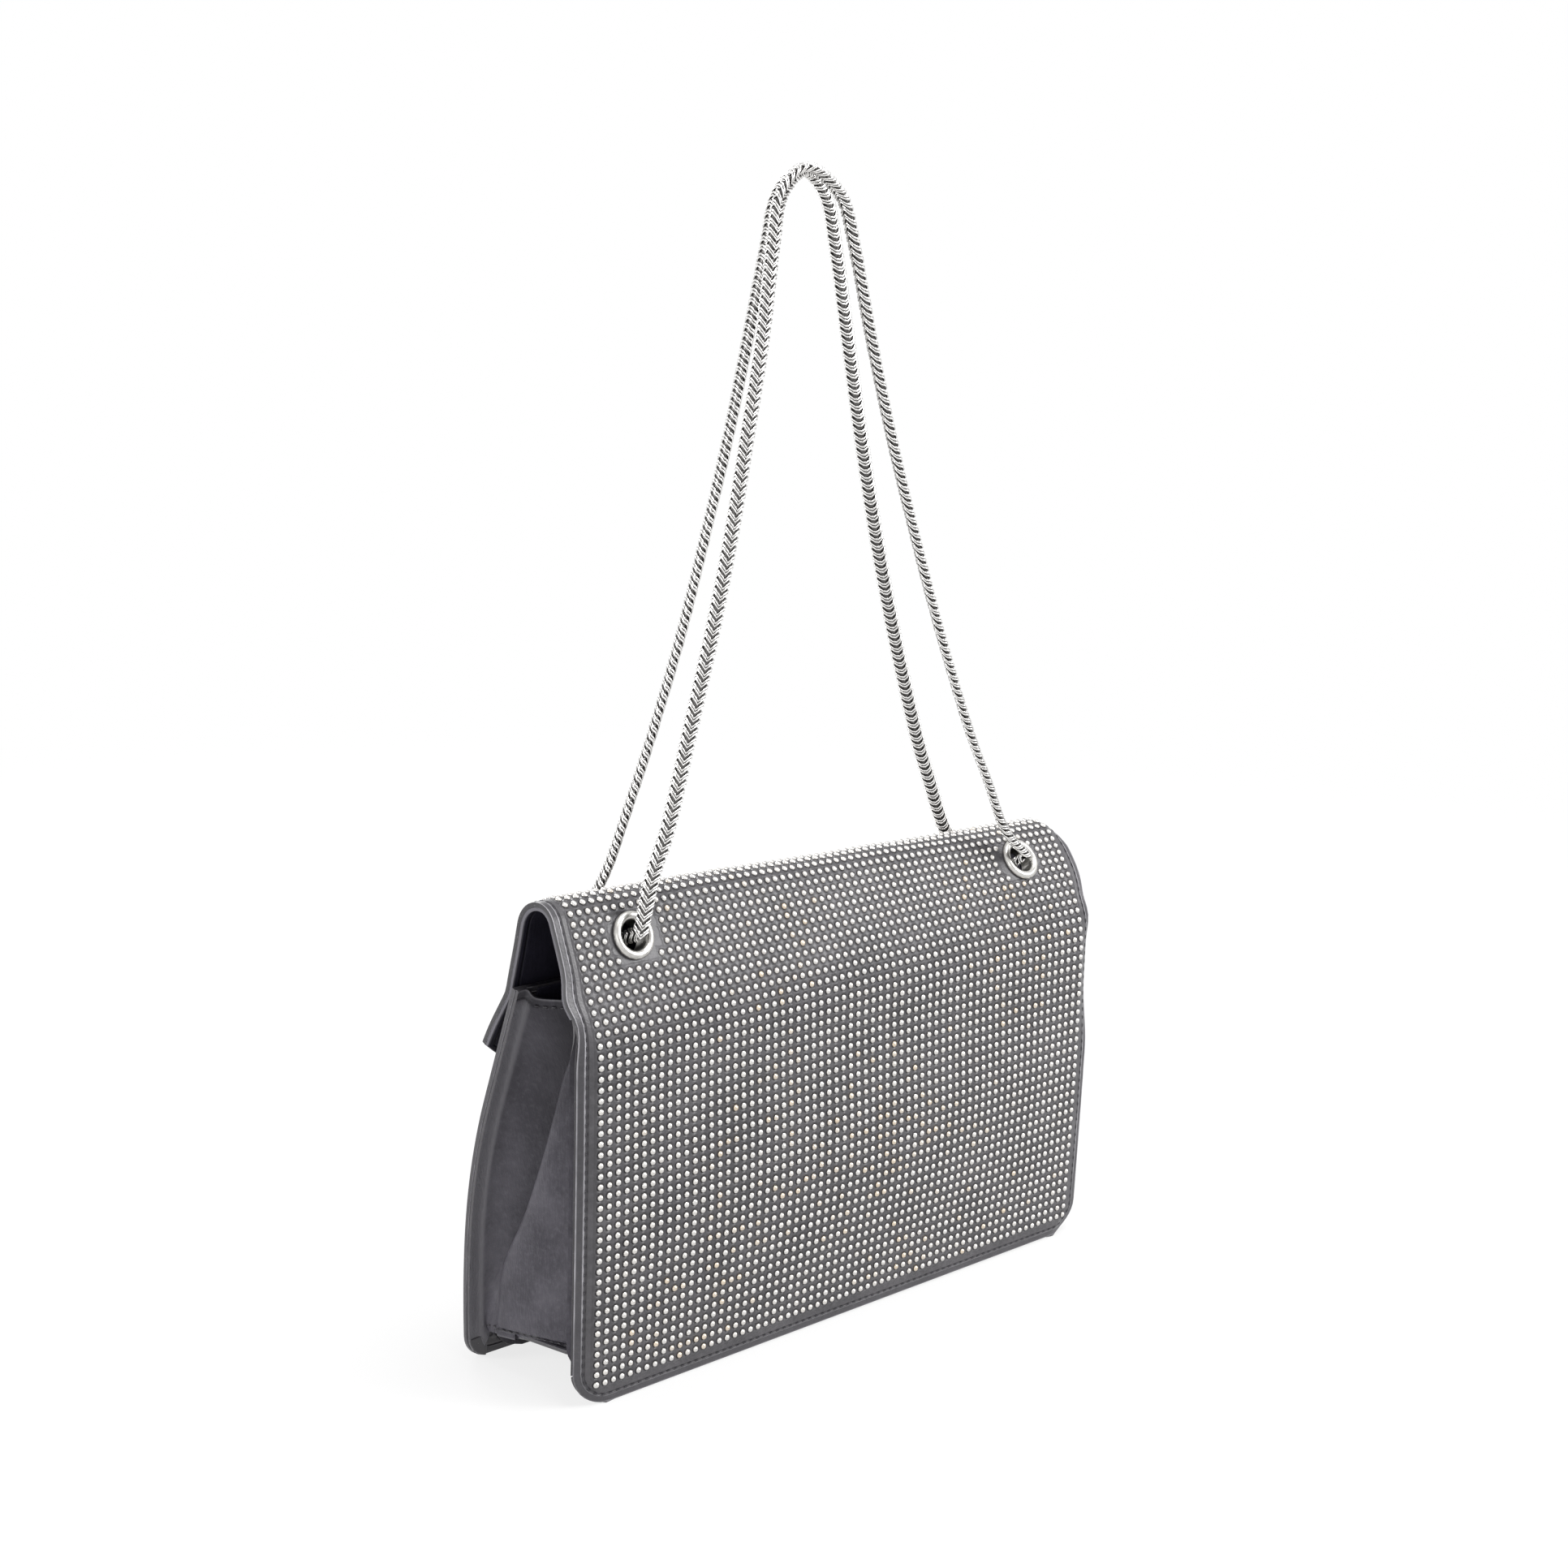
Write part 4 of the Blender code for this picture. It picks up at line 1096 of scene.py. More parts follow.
def makeLinings():
    form = liningForm
    behind = bagForm["leather"] + bagForm["gap"]
    floor = baseForm["flange"] + baseForm["bend"] + behind

    def backLiningSpot(share, run):
        return skinSpot(share, run, behind, bagForm["liningMargin"])

    back = makeSheet("backLining", evenShares(48), runsBetween(floor, foldAt, 0.004), backLiningSpot,
                     form["wallThick"], ["lining", "lining"], rearward, form["rim"],
                     {"edgeRun": plainEdge})
    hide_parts("back_lining")
    bendAtFold(back)

    def flapLiningSpot(share, run):
        return skinSpot(share, run, bagForm["leather"] + form["flapGap"], form["flapInset"])

    def liningEdge(x, run):
        return min(bagForm["backHalf"] - abs(x), tipAt + edgeSweep(x) - run) - form["flapInset"]

    last = tipAt - form["flapInset"]
    runs = runsBetween(foldAt, lipAt, 0.0026) + runsBetween(lipAt, last, 0.0032)[1:] + sweepRuns(last, 16)
    flap = makeSheet("flapLining", edgeShares(bagForm["backHalf"], 60), runs, flapLiningSpot,
                     form["flapThick"], ["lining", "lining"], rearward, 0.0004,
                     {"edgeRun": liningEdge}, trim=openHoles)
    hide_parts("flap_lining")
    bendAtFold(flap)

    def frontLiningSpot(share, run):
        return frontPanelSpot(share, run, behind, bagForm["liningMargin"])

    runs = runsBetween(floor, frontLength - 0.0006, 0.004)
    front = makeSheet("frontLining", evenShares(48), runs, frontLiningSpot,
                      form["wallThick"], ["lining", "lining"], forward, form["rim"],
                      {"edgeRun": plainEdge})
    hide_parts("front_lining")
    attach(front, "front")

    pocketTop = form["pocketFloor"] + form["pocketHeight"]

    def pocketSpot(share, run):
        x = share * form["pocketWidth"] / 2
        return shellSpot(x, run, behind + form["wallThick"] + bagForm["gap"]), (x, run)

    def pocketEdge(x, run):
        return min(form["pocketWidth"] / 2 - abs(x), run - form["pocketFloor"], pocketTop - run)

    runs = runsBetween(form["pocketFloor"], pocketTop, 0.003)
    pocket = makeSheet("slipPocket", evenShares(30), runs, pocketSpot,
                       form["pocketThick"], ["lining", "edge"], rearward, form["rim"],
                       {"edgeRun": pocketEdge})
    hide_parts("slip_pocket")
    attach(pocket, "body")


makeLinings()
print("linings made")


# Base strip and its lining

def baseHalf(run, height):
    flange = backHalf(height) - bagForm["margin"] - baseForm["flangeInset"]
    wide = bagForm["backHalf"] - baseForm["inset"] - baseForm["tuckedEnd"]
    backShare = (run - baseForm["flange"]) / (baseForm["bend"] * baseTurn)
    frontShare = (baseLength - frontFlange - run) / (baseForm["bend"] * baseFrontTurn)
    share = min(max(min(backShare, frontShare), 0.0), 1.0)
    return flange + (wide - flange) * share ** 5


def makeBase():
    def baseSpot(share, run):
        depth, height, heading = walkPath(basePath, run)
        x = share * baseHalf(run, height)
        return place(x, depth, height), (x, run)

    def baseEdge(x, run):
        return bagForm["backHalf"] - baseForm["inset"] - abs(x)

    base = makeSheet("baseStrip", edgeShares(0.134, 40), runsBetween(0.0, baseLength, 0.0022), baseSpot,
                     baseForm["leather"], ["plain", "edge"], rearward, 0.0004, {"edgeRun": baseEdge})
    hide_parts("base_panel")
    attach(base, "body")

    shift = bagForm["gap"] + bagForm["lining"]
    half = bagForm["backHalf"] - baseForm["liningInset"] - bagForm["liningMargin"]
    first = baseForm["flange"] + baseForm["bend"] * baseTurn / 2
    last = baseLength - frontFlange - baseForm["bend"] * baseFrontTurn / 2

    def baseLiningSpot(share, run):
        return place(share * half, *besidePath(basePath, run, shift)), (share * half, run)

    inner = makeSheet("baseLining", evenShares(30), runsBetween(first, last, 0.003), baseLiningSpot,
                      bagForm["lining"], ["lining", "lining"], rearward, liningForm["rim"],
                      {"edgeRun": plainEdge})
    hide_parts("base_lining")
    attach(inner, "body")


makeBase()
print("base made")


# Gussets: a flange on each panel, a deep inward ridge that drifts, and a turned top hem

gussetForm = {
    "leather": 0.0012, "flange": 0.006, "turn": 0.0016, "gap": 0.0005,
    "foot": 0.0035, "footInset": 0.0034, "flangeDepth": 0.0037, "wrap": 0.0022, "cover": 0.0018,
    "topDrop": 0.0015, "frontDrop": 0.0008, "hemRise": 0.0003, "topTuck": 0.0075, "flareShare": 0.36,
    "ridgeInset": 0.0042, "ridgeRound": 0.0033, "ridgeLow": 0.80, "ridgeBelly": 0.08, "ridgeHigh": 0.15,
    "crease": 0.018, "creaseBack": 0.8, "frontFold": 0.011,
    "rows": 52, "mapHeight": 0.135, "fanDepth": 0.0006, "softDepth": 0.0009,
}


def baseHeightAt(goal):
    low, high = baseForm["flange"], baseLength - frontFlange
    for halving in range(40):
        middle = (low + high) / 2
        if walkPath(basePath, middle)[0] < goal:
            low = middle
        else:
            high = middle
    return walkPath(basePath, (low + high) / 2)[1]


def splineAt(knots, index, share):
    before, start, end, after = knots[index - 1:index + 3]
    times = [0.0]
    for first, second in ((before, start), (start, end), (end, after)):
        times.append(times[-1] + math.sqrt((second - first).length))
    time = times[1] + (times[2] - times[1]) * share

    def between(first, second, firstTime, secondTime):
        return first.lerp(second, (time - firstTime) / (secondTime - firstTime))

    one = between(before, start, times[0], times[1])
    two = between(start, end, times[1], times[2])
    three = between(end, after, times[2], times[3])
    return between(between(one, two, times[0], times[2]), between(two, three, times[1], times[3]),
                   times[1], times[2])


def marginStretch(x, run):
    step = bagForm["gap"]
    slope = (marginDepth(abs(x) + step, run) - marginDepth(abs(x), run)) / step
    return math.sqrt(1 + slope ** 2)


def gussetKnots(share):
    # the gusset's plan at one height: half-width, depth and the height that the column ends at
    form = gussetForm
    inward = bagForm["leather"] + form["gap"] + form["leather"]
    foldHeight = walkPath(shellPath, foldAt)[1]
    hem = foldHeight + form["hemRise"]
    backHeight = form["foot"] + (foldHeight - form["topDrop"] - form["foot"]) * share
    backRun = runAtHeight(shellPath, 0.0, foldAt, -inward, backHeight)
    backSide = backHalf(backHeight)
    backDepth = besidePath(shellPath, backRun, -inward)[0] + marginDepth(backSide - form["flange"], backRun)
    frontHeight = form["foot"] + (frontTop - form["frontDrop"] - form["foot"]) * share
    frontRun = runAtHeight(frontPath, 0.0, frontLength, inward, frontHeight)
    frontSide = frontHalf(frontHeight)
    span = besidePath(frontPath, frontRun, inward)[0] - backDepth
    ridge = form["ridgeLow"] + (form["ridgeHigh"] - form["ridgeLow"]) * share
    ridge += form["ridgeBelly"] * math.exp(-((share - 0.2) / 0.13) ** 2)
    tuck = form["topTuck"] * max(0.0, (share - 0.8) / 0.2) ** 1.5
    flare = max(0.0, 1 - share / form["flareShare"]) ** 2
    turn = form["turn"]
    columns = [
        (bagForm["gap"], 0.0, 0.0),
        (form["flange"] - turn, 0.0, 0.0),
        (form["flange"], 0.0, turn),
        (form["ridgeInset"] + tuck, ridge, 0.0),
        (form["ridgeInset"] + form["ridgeRound"] + tuck, ridge, turn),
        (form["crease"], ridge * form["creaseBack"], 0.0),
        (form["frontFold"], (1 + ridge) / 2, 0.0),
        (form["flange"], 1.0, -turn),
        (form["flange"] - turn, 1.0, 0.0),
        (bagForm["gap"], 1.0, 0.0),
    ]
    knots = []
    for index, (inset, along, step) in enumerate(columns):
        depth = backDepth + span * along + step
        if 2 < index < 7:
            inset += (form["footInset"] - inset) * flare
        half = backSide + (frontSide - backSide) * along - inset
        top = hem
        if index < 2:
            top = foldHeight - form["topDrop"]
            layer = inward * marginStretch(half, backRun)
            depth = besidePath(shellPath, backRun, -layer)[0] + marginDepth(half, backRun)
        elif index > len(columns) - 3:
            top = frontTop - form["frontDrop"]
        knots.append(Vector((half, depth, top)))
    return [2 * knots[0] - knots[1]] + knots + [2 * knots[-1] - knots[-2]]


def footHeight(depth):
    # the gusset's lower edge wraps the base and runs down the two flanges
    form = gussetForm
    frontDepth = walkPath(basePath, baseLength - frontFlange)[0]
    fromBack = depth - form["flangeDepth"]
    fromFront = frontDepth - form["flangeDepth"] + 0.0021 - depth
    near = min(1.0, max(0.0, min(fromBack, fromFront) / form["wrap"]))
    inner = min(max(depth, form["flangeDepth"] + 0.0005), frontDepth - 0.0008)
    over = baseHeightAt(inner) - form["cover"]
    return form["foot"] + (over - form["foot"]) * near ** 0.5


gussetCounts = [3, 3, 14, 4, 8, 10, 10, 3, 3]     # columns between one knot and the next
gussetColumns = []
for index, count in enumerate(gussetCounts):
    gussetColumns += [(index + 1, step / count) for step in range(count)]
gussetColumns.append((len(gussetCounts), 1.0))
gussetFeet = {spot: footHeight(splineAt(gussetKnots(0.0), *spot).y) for spot in gussetColumns}


def gussetPlace(knots, spot, share):
    # half-width, depth and height on the gusset's outer side
    half, depth, top = splineAt(knots, *spot)
    low = gussetFeet[spot]
    return half, depth, low + (top - low) * share


def gussetShade(column, share):
    # painted shade deep in the fold, high up by the back and under the hem; painted light on the front band,
    # along the ridge and low in the valley
    paintedShade = math.exp(-((column - 5.6) / 1.3) ** 2) * share ** 1.5
    paintedShade = max(paintedShade, share ** 4 * ease((4.0 - column) / 0.8))
    paintedShade = max(paintedShade, 0.7 * ease((share - 0.955) / 0.02))
    paintedLight = 0.70 * ease((column - 6.9) / 0.6)
    paintedLight += 0.10 * math.exp(-((column - 3.1) / 0.25) ** 2) * (1 - share)
    paintedLight += 0.12 * (1 - share) ** 2 * ease(column - 5.2)
    return paintedShade, min(paintedLight, 0.8)


def bendWithFront(item):
    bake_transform(item, "body", "front", start=(0.0, backFaceY - 0.008, 0.05),
             end=(0.0, backFaceY - 0.038, 0.05))


def makeGusset(name, side, node):
    tall = gussetForm["mapHeight"]
    rows = [step / gussetForm["rows"] for step in range(gussetForm["rows"] + 1)]
    knotsOf = {share: gussetKnots(share) for share in rows}
    drift = 3.1 if side > 0 else 8.6
    lines = {}
    shades = {}
    for share in rows:
        travelled = 0.0
        last = None
        for spot in gussetColumns:
            here = splineAt(knotsOf[share], *spot)
            travelled += (here - last).length if last else 0.0
            last = here
            lines[(spot, share)] = travelled
            shades[(round(travelled, 6), round(share * tall, 6))] = gussetShade(sum(spot) - 1, share)

    def gussetSpot(spot, share):
        half, depth, height = gussetPlace(knotsOf[share], spot, share)
        return place(side * half, depth, height), (lines[(spot, share)], share * tall)

    def hemEdge(across, up):
        return min(tall - up, up * 1.02 + 0.0001) if 0.004 < across < 0.08 else 0.02

    def paintedShade(across, up):
        return shades[(round(across, 6), round(up, 6))][0]

    def paintedLight(across, up):
        return shades[(round(across, 6), round(up, 6))][1]

    def crumple(across, up, spot):
        # wrinkles fan out from the foot of the ridge, and a soft roll runs under the hem
        low = math.exp(-((spot.z - 0.034) / 0.017) ** 2)
        out = abs(spot.x)
        wide = min(1.0, max(0.0, (out - 0.122) / 0.006)) * min(1.0, max(0.0, (0.137 - out) / 0.003))
        fan = noise.noise(Vector((spot.y * 210.0 + spot.z * 130.0, spot.z * 40.0, drift)))
        fan += 0.6 * noise.noise(Vector((spot.y * 420.0 - spot.z * 200.0, spot.z * 70.0, drift)))
        soft = noise.noise(Vector((spot.y * 40.0, spot.z * 22.0, drift + 2.0)))
        calm = min(1.0, up / 0.02) * min(1.0, (tall - up) / 0.02)
        return wide * (gussetForm["fanDepth"] * low * fan + gussetForm["softDepth"] * soft * calm)

    tones = {"edgeRun": hemEdge, "paintedShade": paintedShade, "paintedLight": paintedLight}
    item = makeSheet(name, gussetColumns, rows, gussetSpot, gussetForm["leather"], ["plain", "edge"],
                     forward, 0.0004, tones, crumple, even=False)
    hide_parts(node)
    bendWithFront(item)


makeGusset("gussetLeft", -1, "gusset_left")
makeGusset("gussetRight", 1, "gusset_right")
print("gussets made")


# Welts: painted strips that thicken the panels' edges, like the turned leather of the real seams

weltForm = {
    "width": 0.0055, "thick": 0.0019, "seamThick": 0.00042, "inset": 0.00035,
    "cornerSunk": 0.00005, "seamSunk": 0.00003, "cornerRim": 0.0005, "seamRim": 0.00015,
}


def outlineSpot(half, corner, share, inset):
    # the bottom outline from one side to the other: share 0 and 1 are the corners' upper ends
    radius = corner - inset
    arcLength = quarter * radius
    flat = 2 * (half - corner)
    travelled = share * (2 * arcLength + flat)
    if travelled < arcLength:
        angle = travelled / radius
        return -half + corner - radius * math.cos(angle), corner - radius * math.sin(angle)
    if travelled > arcLength + flat:
        angle = (2 * arcLength + flat - travelled) / radius
        return half - corner + radius * math.cos(angle), corner - radius * math.sin(angle)
    return -half + corner + travelled - arcLength, inset


def panelHalf(row, run):
    return bagForm["backHalf"] if row == "back" else frontHalf(walkPath(frontPath, run)[1])


def makeWelts():
    # a thick one round each lower corner and a thin strip up each side
    form = weltForm
    insets = [form["inset"] + form["width"] * step / 5 for step in range(6)]
    turns = [math.radians(1.0) + math.radians(76.0) * step / 14 for step in range(15)]
    backRuns = runsBetween(0.012, foldAt - 0.003, 0.004)
    frontRunsUp = runsBetween(0.0095, frontLength - 0.001, 0.004)
    panels = [
        ("back", "body", shellSpot, rearward, math.radians(9.0), backRuns),
        ("front", "front", frontSpot, forward, math.radians(3.0), frontRunsUp),
    ]
    for side, end in ((-1, "Left"), (1, "Right")):
        for row, body, spot, facing, firstTurn, runs in panels:
            half = bagForm[row + "Half"]
            corner = bagForm[row + "Corner"]

            def cornerSpot(inset, angle):
                radius = corner - inset
                x = half - corner + radius * math.cos(angle)
                run = corner - radius * math.sin(angle)
                return spot(side * x, run, bagForm["leather"] + form["cornerSunk"]), (x, run)

            def seamSpot(inset, run):
                x = panelHalf(row, run) - inset
                return spot(side * x, run, bagForm["leather"] + form["seamSunk"]), (x, run)

            angles = [angle + firstTurn for angle in turns]
            welt = makeSheet(row + "CornerWelt" + end, insets, angles, cornerSpot, form["thick"],
                             ["edge", "edge"], facing, form["cornerRim"], {"edgeRun": plainEdge})
            strip = makeSheet(row + "SideWelt" + end, insets[:5], runs, seamSpot, form["seamThick"],
                              ["edge", "edge"], facing, form["seamRim"], {"edgeRun": plainEdge})
            for item in (welt, strip):
                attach(item, body)


makeWelts()
print("welts made")


# Stitches

stitchForm = {
    "length": 0.0026, "gap": 0.0009, "radius": 0.00027, "inset": 0.003,
    "lift": 0.00003, "gussetLift": 0.0002,
}


def stitchTemplate():
    bm = bmesh.new()
    bmesh.ops.create_uvsphere(bm, u_segments=6, v_segments=5, radius=stitchForm["radius"])
    for vert in bm.verts:
        vert.co.z *= 0.75
    stretch = stitchForm["length"] / 2 / stitchForm["radius"]
    turn = Matrix.Rotation(quarter, 4, "Y")
    bmesh.ops.transform(bm, matrix=Matrix.Diagonal((0.8, 1.0, stretch, 1.0)), verts=bm.verts)
    bmesh.ops.transform(bm, matrix=turn, verts=bm.verts)
    return bm


def stitchMatrices(line):
    # line: points with their outward directions
    step = stitchForm["length"] + stitchForm["gap"]
    matrices = []
    left = step / 2
    for (first, firstOut), (second, secondOut) in zip(line, line[1:]):
        span = (second - first).length
        while left < span:
            share = left / span
            out = firstOut.lerp(secondOut, share).normalized()
            along = (second - first).normalized()
            across = out.cross(along).normalized()
            matrix = Matrix((along, across, along.cross(across))).transposed().to_4x4()
            matrix.translation = first.lerp(second, share) + out * stitchForm["lift"]
            matrices.append(matrix)
            left += step
        left -= span
    return matrices


def surfaceLine(spot, places, turn):
    return [(spot(x, run), normalAt(spot, x, run, turn)) for x, run in places]


def sidePlace(side, knots, spot, share):
    half, depth, height = gussetPlace(knots, spot, share)
    return place(side * half, depth, height)


def makeStitches():
    template = stitchTemplate()
    inset = stitchForm["inset"]
    side = bagForm["backHalf"] - inset
    corner = bagForm["backCorner"]
    bottom = [outlineSpot(bagForm["backHalf"], corner, step / 120, inset) for step in range(121)]
    up = [(side, run) for run in runsBetween(corner, tipAt, 0.002)[1:]]
    down = [(-x, run) for x, run in up[::-1]]
    sweep = []
    for step in range(61):
        x = side * (1 - 2 * step / 60)
        sweep.append((x, tipAt + edgeSweep(x) - inset))
    loop = down + bottom + up + sweep
    skinLine = surfaceLine(shellSpot, loop, 1)
    stitches = scatter("skinStitches", template, stitchMatrices(skinLine), "thread")
    bendAtFold(stitches)
    frontCorner = bagForm["frontCorner"]
    bottom = [outlineSpot(bagForm["frontHalf"], frontCorner, step / 120, inset) for step in range(121)]
    up = [(frontHalf(walkPath(frontPath, run)[1]) - inset, run)
          for run in runsBetween(frontCorner, frontLength - inset, 0.002)[1:]]
    down = [(-x, run) for x, run in up[::-1]]
    topRun = frontLength - inset
    over = [(up[-1][0] * (1 - 2 * step / 60), topRun) for step in range(1, 60)]
    frontLine = surfaceLine(frontSpot, down + bottom + up + over, -1)
    stitches = scatter("frontStitches", template, stitchMatrices(frontLine), "thread")
    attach(stitches, "front")
    for side, name in ((-1, "Left"), (1, "Right")):
        matrices = []
        # under the hem and above the foot: the row, one beside it, and the columns it spans
        for share, beside, first, last in ((0.978, 0.97, 8, -5), (0.022, 0.03, 6, -6)):
            here = gussetKnots(share)
            there = gussetKnots(beside)
            line = []
            for spot, nextSpot in zip(gussetColumns[first:last], gussetColumns[first + 1:]):
                start = sidePlace(side, here, spot, share)
                ahead = sidePlace(side, here, nextSpot, share)
                away = sidePlace(side, there, spot, beside)
                out = (ahead - start).cross(away - start).normalized()
                if out.x * side < 0:
                    out = -out
                line.append((start + out * stitchForm["gussetLift"], out))
            matrices += stitchMatrices(line)
        stitches = scatter("gussetStitches" + name, template, matrices, "thread")
        bendWithFront(stitches)
    template.free()


makeStitches()
print("stitches made")


# Eyelets with their washers

def makeEyelets():
    form = eyeletForm
    middle = (form["hole"] + form["outer"]) / 2
    half = (form["outer"] - form["hole"]) / 2
    low = bagForm["gap"] * 0.3
    under = -(doubled + form["washerGap"] + form["washerThick"] + bagForm["gap"])
    barrel = form["hole"] + form["wall"]
    rim = arc(middle, low + 0.0004, half, form["rise"] - 0.0004, 180, 0, 18)
    rim += arc(form["outer"] - 0.0004, low + 0.0004, 0.0004, 0.0004, -20, -90, 4)
    curl = [(barrel, low), (barrel, under)]
    curl += arc(barrel + 0.0003, under - 0.0003, 0.0005, 0.0005, 90, -60, 6)
    curl += [(form["hole"] + 0.0001, under - 0.0006), (form["hole"], under - 0.0003)]
    top = -(doubled + form["washerGap"])
    bottom = top - form["washerThick"]
    inner = barrel + bagForm["gap"]
    wide = form["washer"]
    washer = [(inner, top), (wide - 0.0002, top), (wide, top - 0.0002), (wide, bottom + 0.0002),
              (wide - 0.0003, bottom), (inner + 0.0004, bottom), (inner, bottom + 0.0002)]
    for row in ("back", "front"):
        for side, end in ((-1, "left"), (1, "right")):
            matrix = sideFrame(side * eyeletX, eyeletRuns[row])
            name = row.capitalize() + end.capitalize()
            eyelet = spinProfile("eyelet" + name, rim + curl, matrix, "rim", 80)
            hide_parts("eyelet_" + row + "_" + end)
            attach(eyelet, "flap")
            ring = spinProfile("washer" + name, washer, matrix, "steel", 56)
            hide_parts("washer_" + row + "_" + end)
            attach(ring, "flap")


makeEyelets()
print("eyelets made")


# Chain: bent oval links, a V on one wide face and a C on the other

chainForm = {
    "half": 0.00262, "thick": 0.00152, "wire": 0.00047, "wireTall": 0.00046, "ring": 0.003,
    "pitch": 0.0032, "vee": 0.0032, "cee": 0.0022, "pairShift": 0.00056, "around": 12, "wireSides": 5,
    "top": 0.441, "apexDepth": 0.026, "pairGap": 0.0008, "radius": 0.0026, "dip": 0.006,
}

# the strands' drape: shares across between the two eyelets and up to the loop's top
backStrapShares = [
    (1.0, 0.0), (0.938, 0.075), (0.863, 0.136), (0.753, 0.262), (0.642, 0.389), (0.545, 0.516),
    (0.463, 0.644), (0.383, 0.773), (0.323, 0.901), (0.278, 0.966), (0.15, 1.0),
    (-0.006, 0.967), (-0.068, 0.904), (-0.153, 0.772), (-0.253, 0.636), (-0.373, 0.496),
    (-0.508, 0.352), (-0.67, 0.202), (-0.771, 0.125), (-0.873, 0.045), (-1.0, 0.0),
]
frontStrapShares = [
    (1.0, 0.0), (0.883, 0.064), (0.813, 0.128), (0.688, 0.257), (0.578, 0.387), (0.489, 0.517),
    (0.407, 0.646), (0.34, 0.775), (0.277, 0.902), (0.24, 0.966), (0.12, 1.0),
    (0.003, 0.967), (-0.058, 0.905), (-0.155, 0.774), (-0.256, 0.638), (-0.37, 0.498),
    (-0.505, 0.352), (-0.665, 0.2), (-0.765, 0.121), (-0.879, 0.039), (-1.0, 0.0),
]


def smoothRoute(knots, spacing):
    padded = [2 * knots[0] - knots[1]] + knots + [2 * knots[-1] - knots[-2]]
    fine = []
    for index in range(1, len(padded) - 2):
        before, start, end, after = padded[index - 1:index + 3]
        for step in range(16):
            share = step / 16
            square = (2 * before - 5 * start + 4 * end - after) * share ** 2
            cube = (3 * start - before - 3 * end + after) * share ** 3
            fine.append(0.5 * (2 * start + (end - before) * share + square + cube))
    fine.append(knots[-1])
    travelled = [0.0]
    for first, second in zip(fine, fine[1:]):
        travelled.append(travelled[-1] + (second - first).length)
    count = max(2, round(travelled[-1] / spacing))
    route = []
    index = 0
    for step in range(count + 1):
        goal = travelled[-1] * step / count
        while index < len(fine) - 2 and travelled[index + 1] < goal:
            index += 1
        share = (goal - travelled[index]) / (travelled[index + 1] - travelled[index])
        route.append(fine[index].lerp(fine[index + 1], min(share, 1.0)))
    return route


def linkTemplate():
    # a ring of wire, spun, then drawn into the link's saddle
    form = chainForm
    bm = bmesh.new()
    circle = bmesh.ops.create_circle(bm, segments=form["wireSides"], radius=form["wire"])["verts"]
    bmesh.ops.rotate(bm, verts=circle, cent=(0, 0, 0), matrix=Matrix.Rotation(quarter, 3, "X"))
    bmesh.ops.scale(bm, verts=circle, vec=(1.0, 1.0, form["wireTall"] / form["wire"]))
    bmesh.ops.translate(bm, verts=circle, vec=(form["ring"], 0, 0))
    bmesh.ops.spin(bm, geom=bm.verts[:] + bm.edges[:], cent=(0, 0, 0), axis=(0, 0, 1), angle=2 * math.pi,
                   steps=form["around"], use_merge=True)
    bmesh.ops.remove_doubles(bm, verts=bm.verts, dist=0.00001)
    inside = bm.verts.layers.float.new("inside")
    for vert in bm.verts:
        flat = Vector((vert.co.x, vert.co.y))
        out = flat.length - form["ring"]
        across, through = flat.normalized()
        lift = -form["vee"] * (1 - abs(across)) if through > 0 else form["cee"] * through ** 2
        # painted shade, most where the wire faces the inside of the link
        vert[inside] = min(1.0, max(0.0, 0.5 - out / form["wire"] * 0.9))
        vert.co = Vector((across * (form["half"] + out), through * (form["thick"] + out), vert.co.z + lift))
    bmesh.ops.recalc_face_normals(bm, faces=bm.faces)
    # a core in the painted-shade colour, a dark sheet where the gaps between links would be in shade, so
    # that no light shows through the link
    deep = form["pitch"] * 0.6
    core = bmesh.ops.create_cone(bm, segments=8, radius1=1.0, radius2=1.0, depth=deep)["verts"]
    bmesh.ops.scale(bm, verts=core, vec=(form["half"] * 0.75, form["thick"] * 0.75, 1.0))
    for vert in core:
        vert[inside] = 1.0
    return bm


def chainMatrices(route, sight, firstTurn, lastTurn):
    # two rings lie close together for each link
    matrices = []
    count = len(route)
    for index in range(count - 1):
        middle = (route[index] + route[index + 1]) / 2
        along = (route[index + 1] - route[index]).normalized()
        toward = (sight - along * sight.dot(along)).normalized()
        aside = along.cross(toward)
        angle = firstTurn + (lastTurn - firstTurn) * ease(index / (count - 2))
        out = toward * math.cos(angle) + aside * math.sin(angle)
        wide = out.cross(along)
        roll = Matrix.Rotation(dice.uniform(-0.05, 0.05), 4, "Z")
        wobble = roll @ Matrix.Rotation(dice.uniform(-0.04, 0.04), 4, "X")
        matrix = Matrix((wide, out, along)).transposed().to_4x4()
        if matrix.to_3x3().determinant() < 0:
            matrix = Matrix((-wide, out, along)).transposed().to_4x4()
        for shift in (-chainForm["pairShift"], chainForm["pairShift"]):
            matrix.translation = middle + along * shift
            matrices.append(matrix @ wobble)
    return matrices


def strapAxis(row):
    mouth = Vector((0.0, 0.0, eyeletForm["standoff"]))
    return [sideFrame(side * eyeletX, eyeletRuns[row]) @ mouth for side in (-1, 1)]


def strapRoute(row, shares):
    left, right = strapAxis(row)
    offset = chainForm["radius"] + chainForm["pairGap"] / 2
    depth = chainForm["apexDepth"] - offset if row == "back" else chainForm["apexDepth"] + offset
    knots = []
    for across, up in shares:
        foot = left.lerp(right, (1 + across) / 2)
        knots.append(foot.lerp(place(foot.x, depth, chainForm["top"]), up))
    return smoothRoute(knots, chainForm["pitch"])


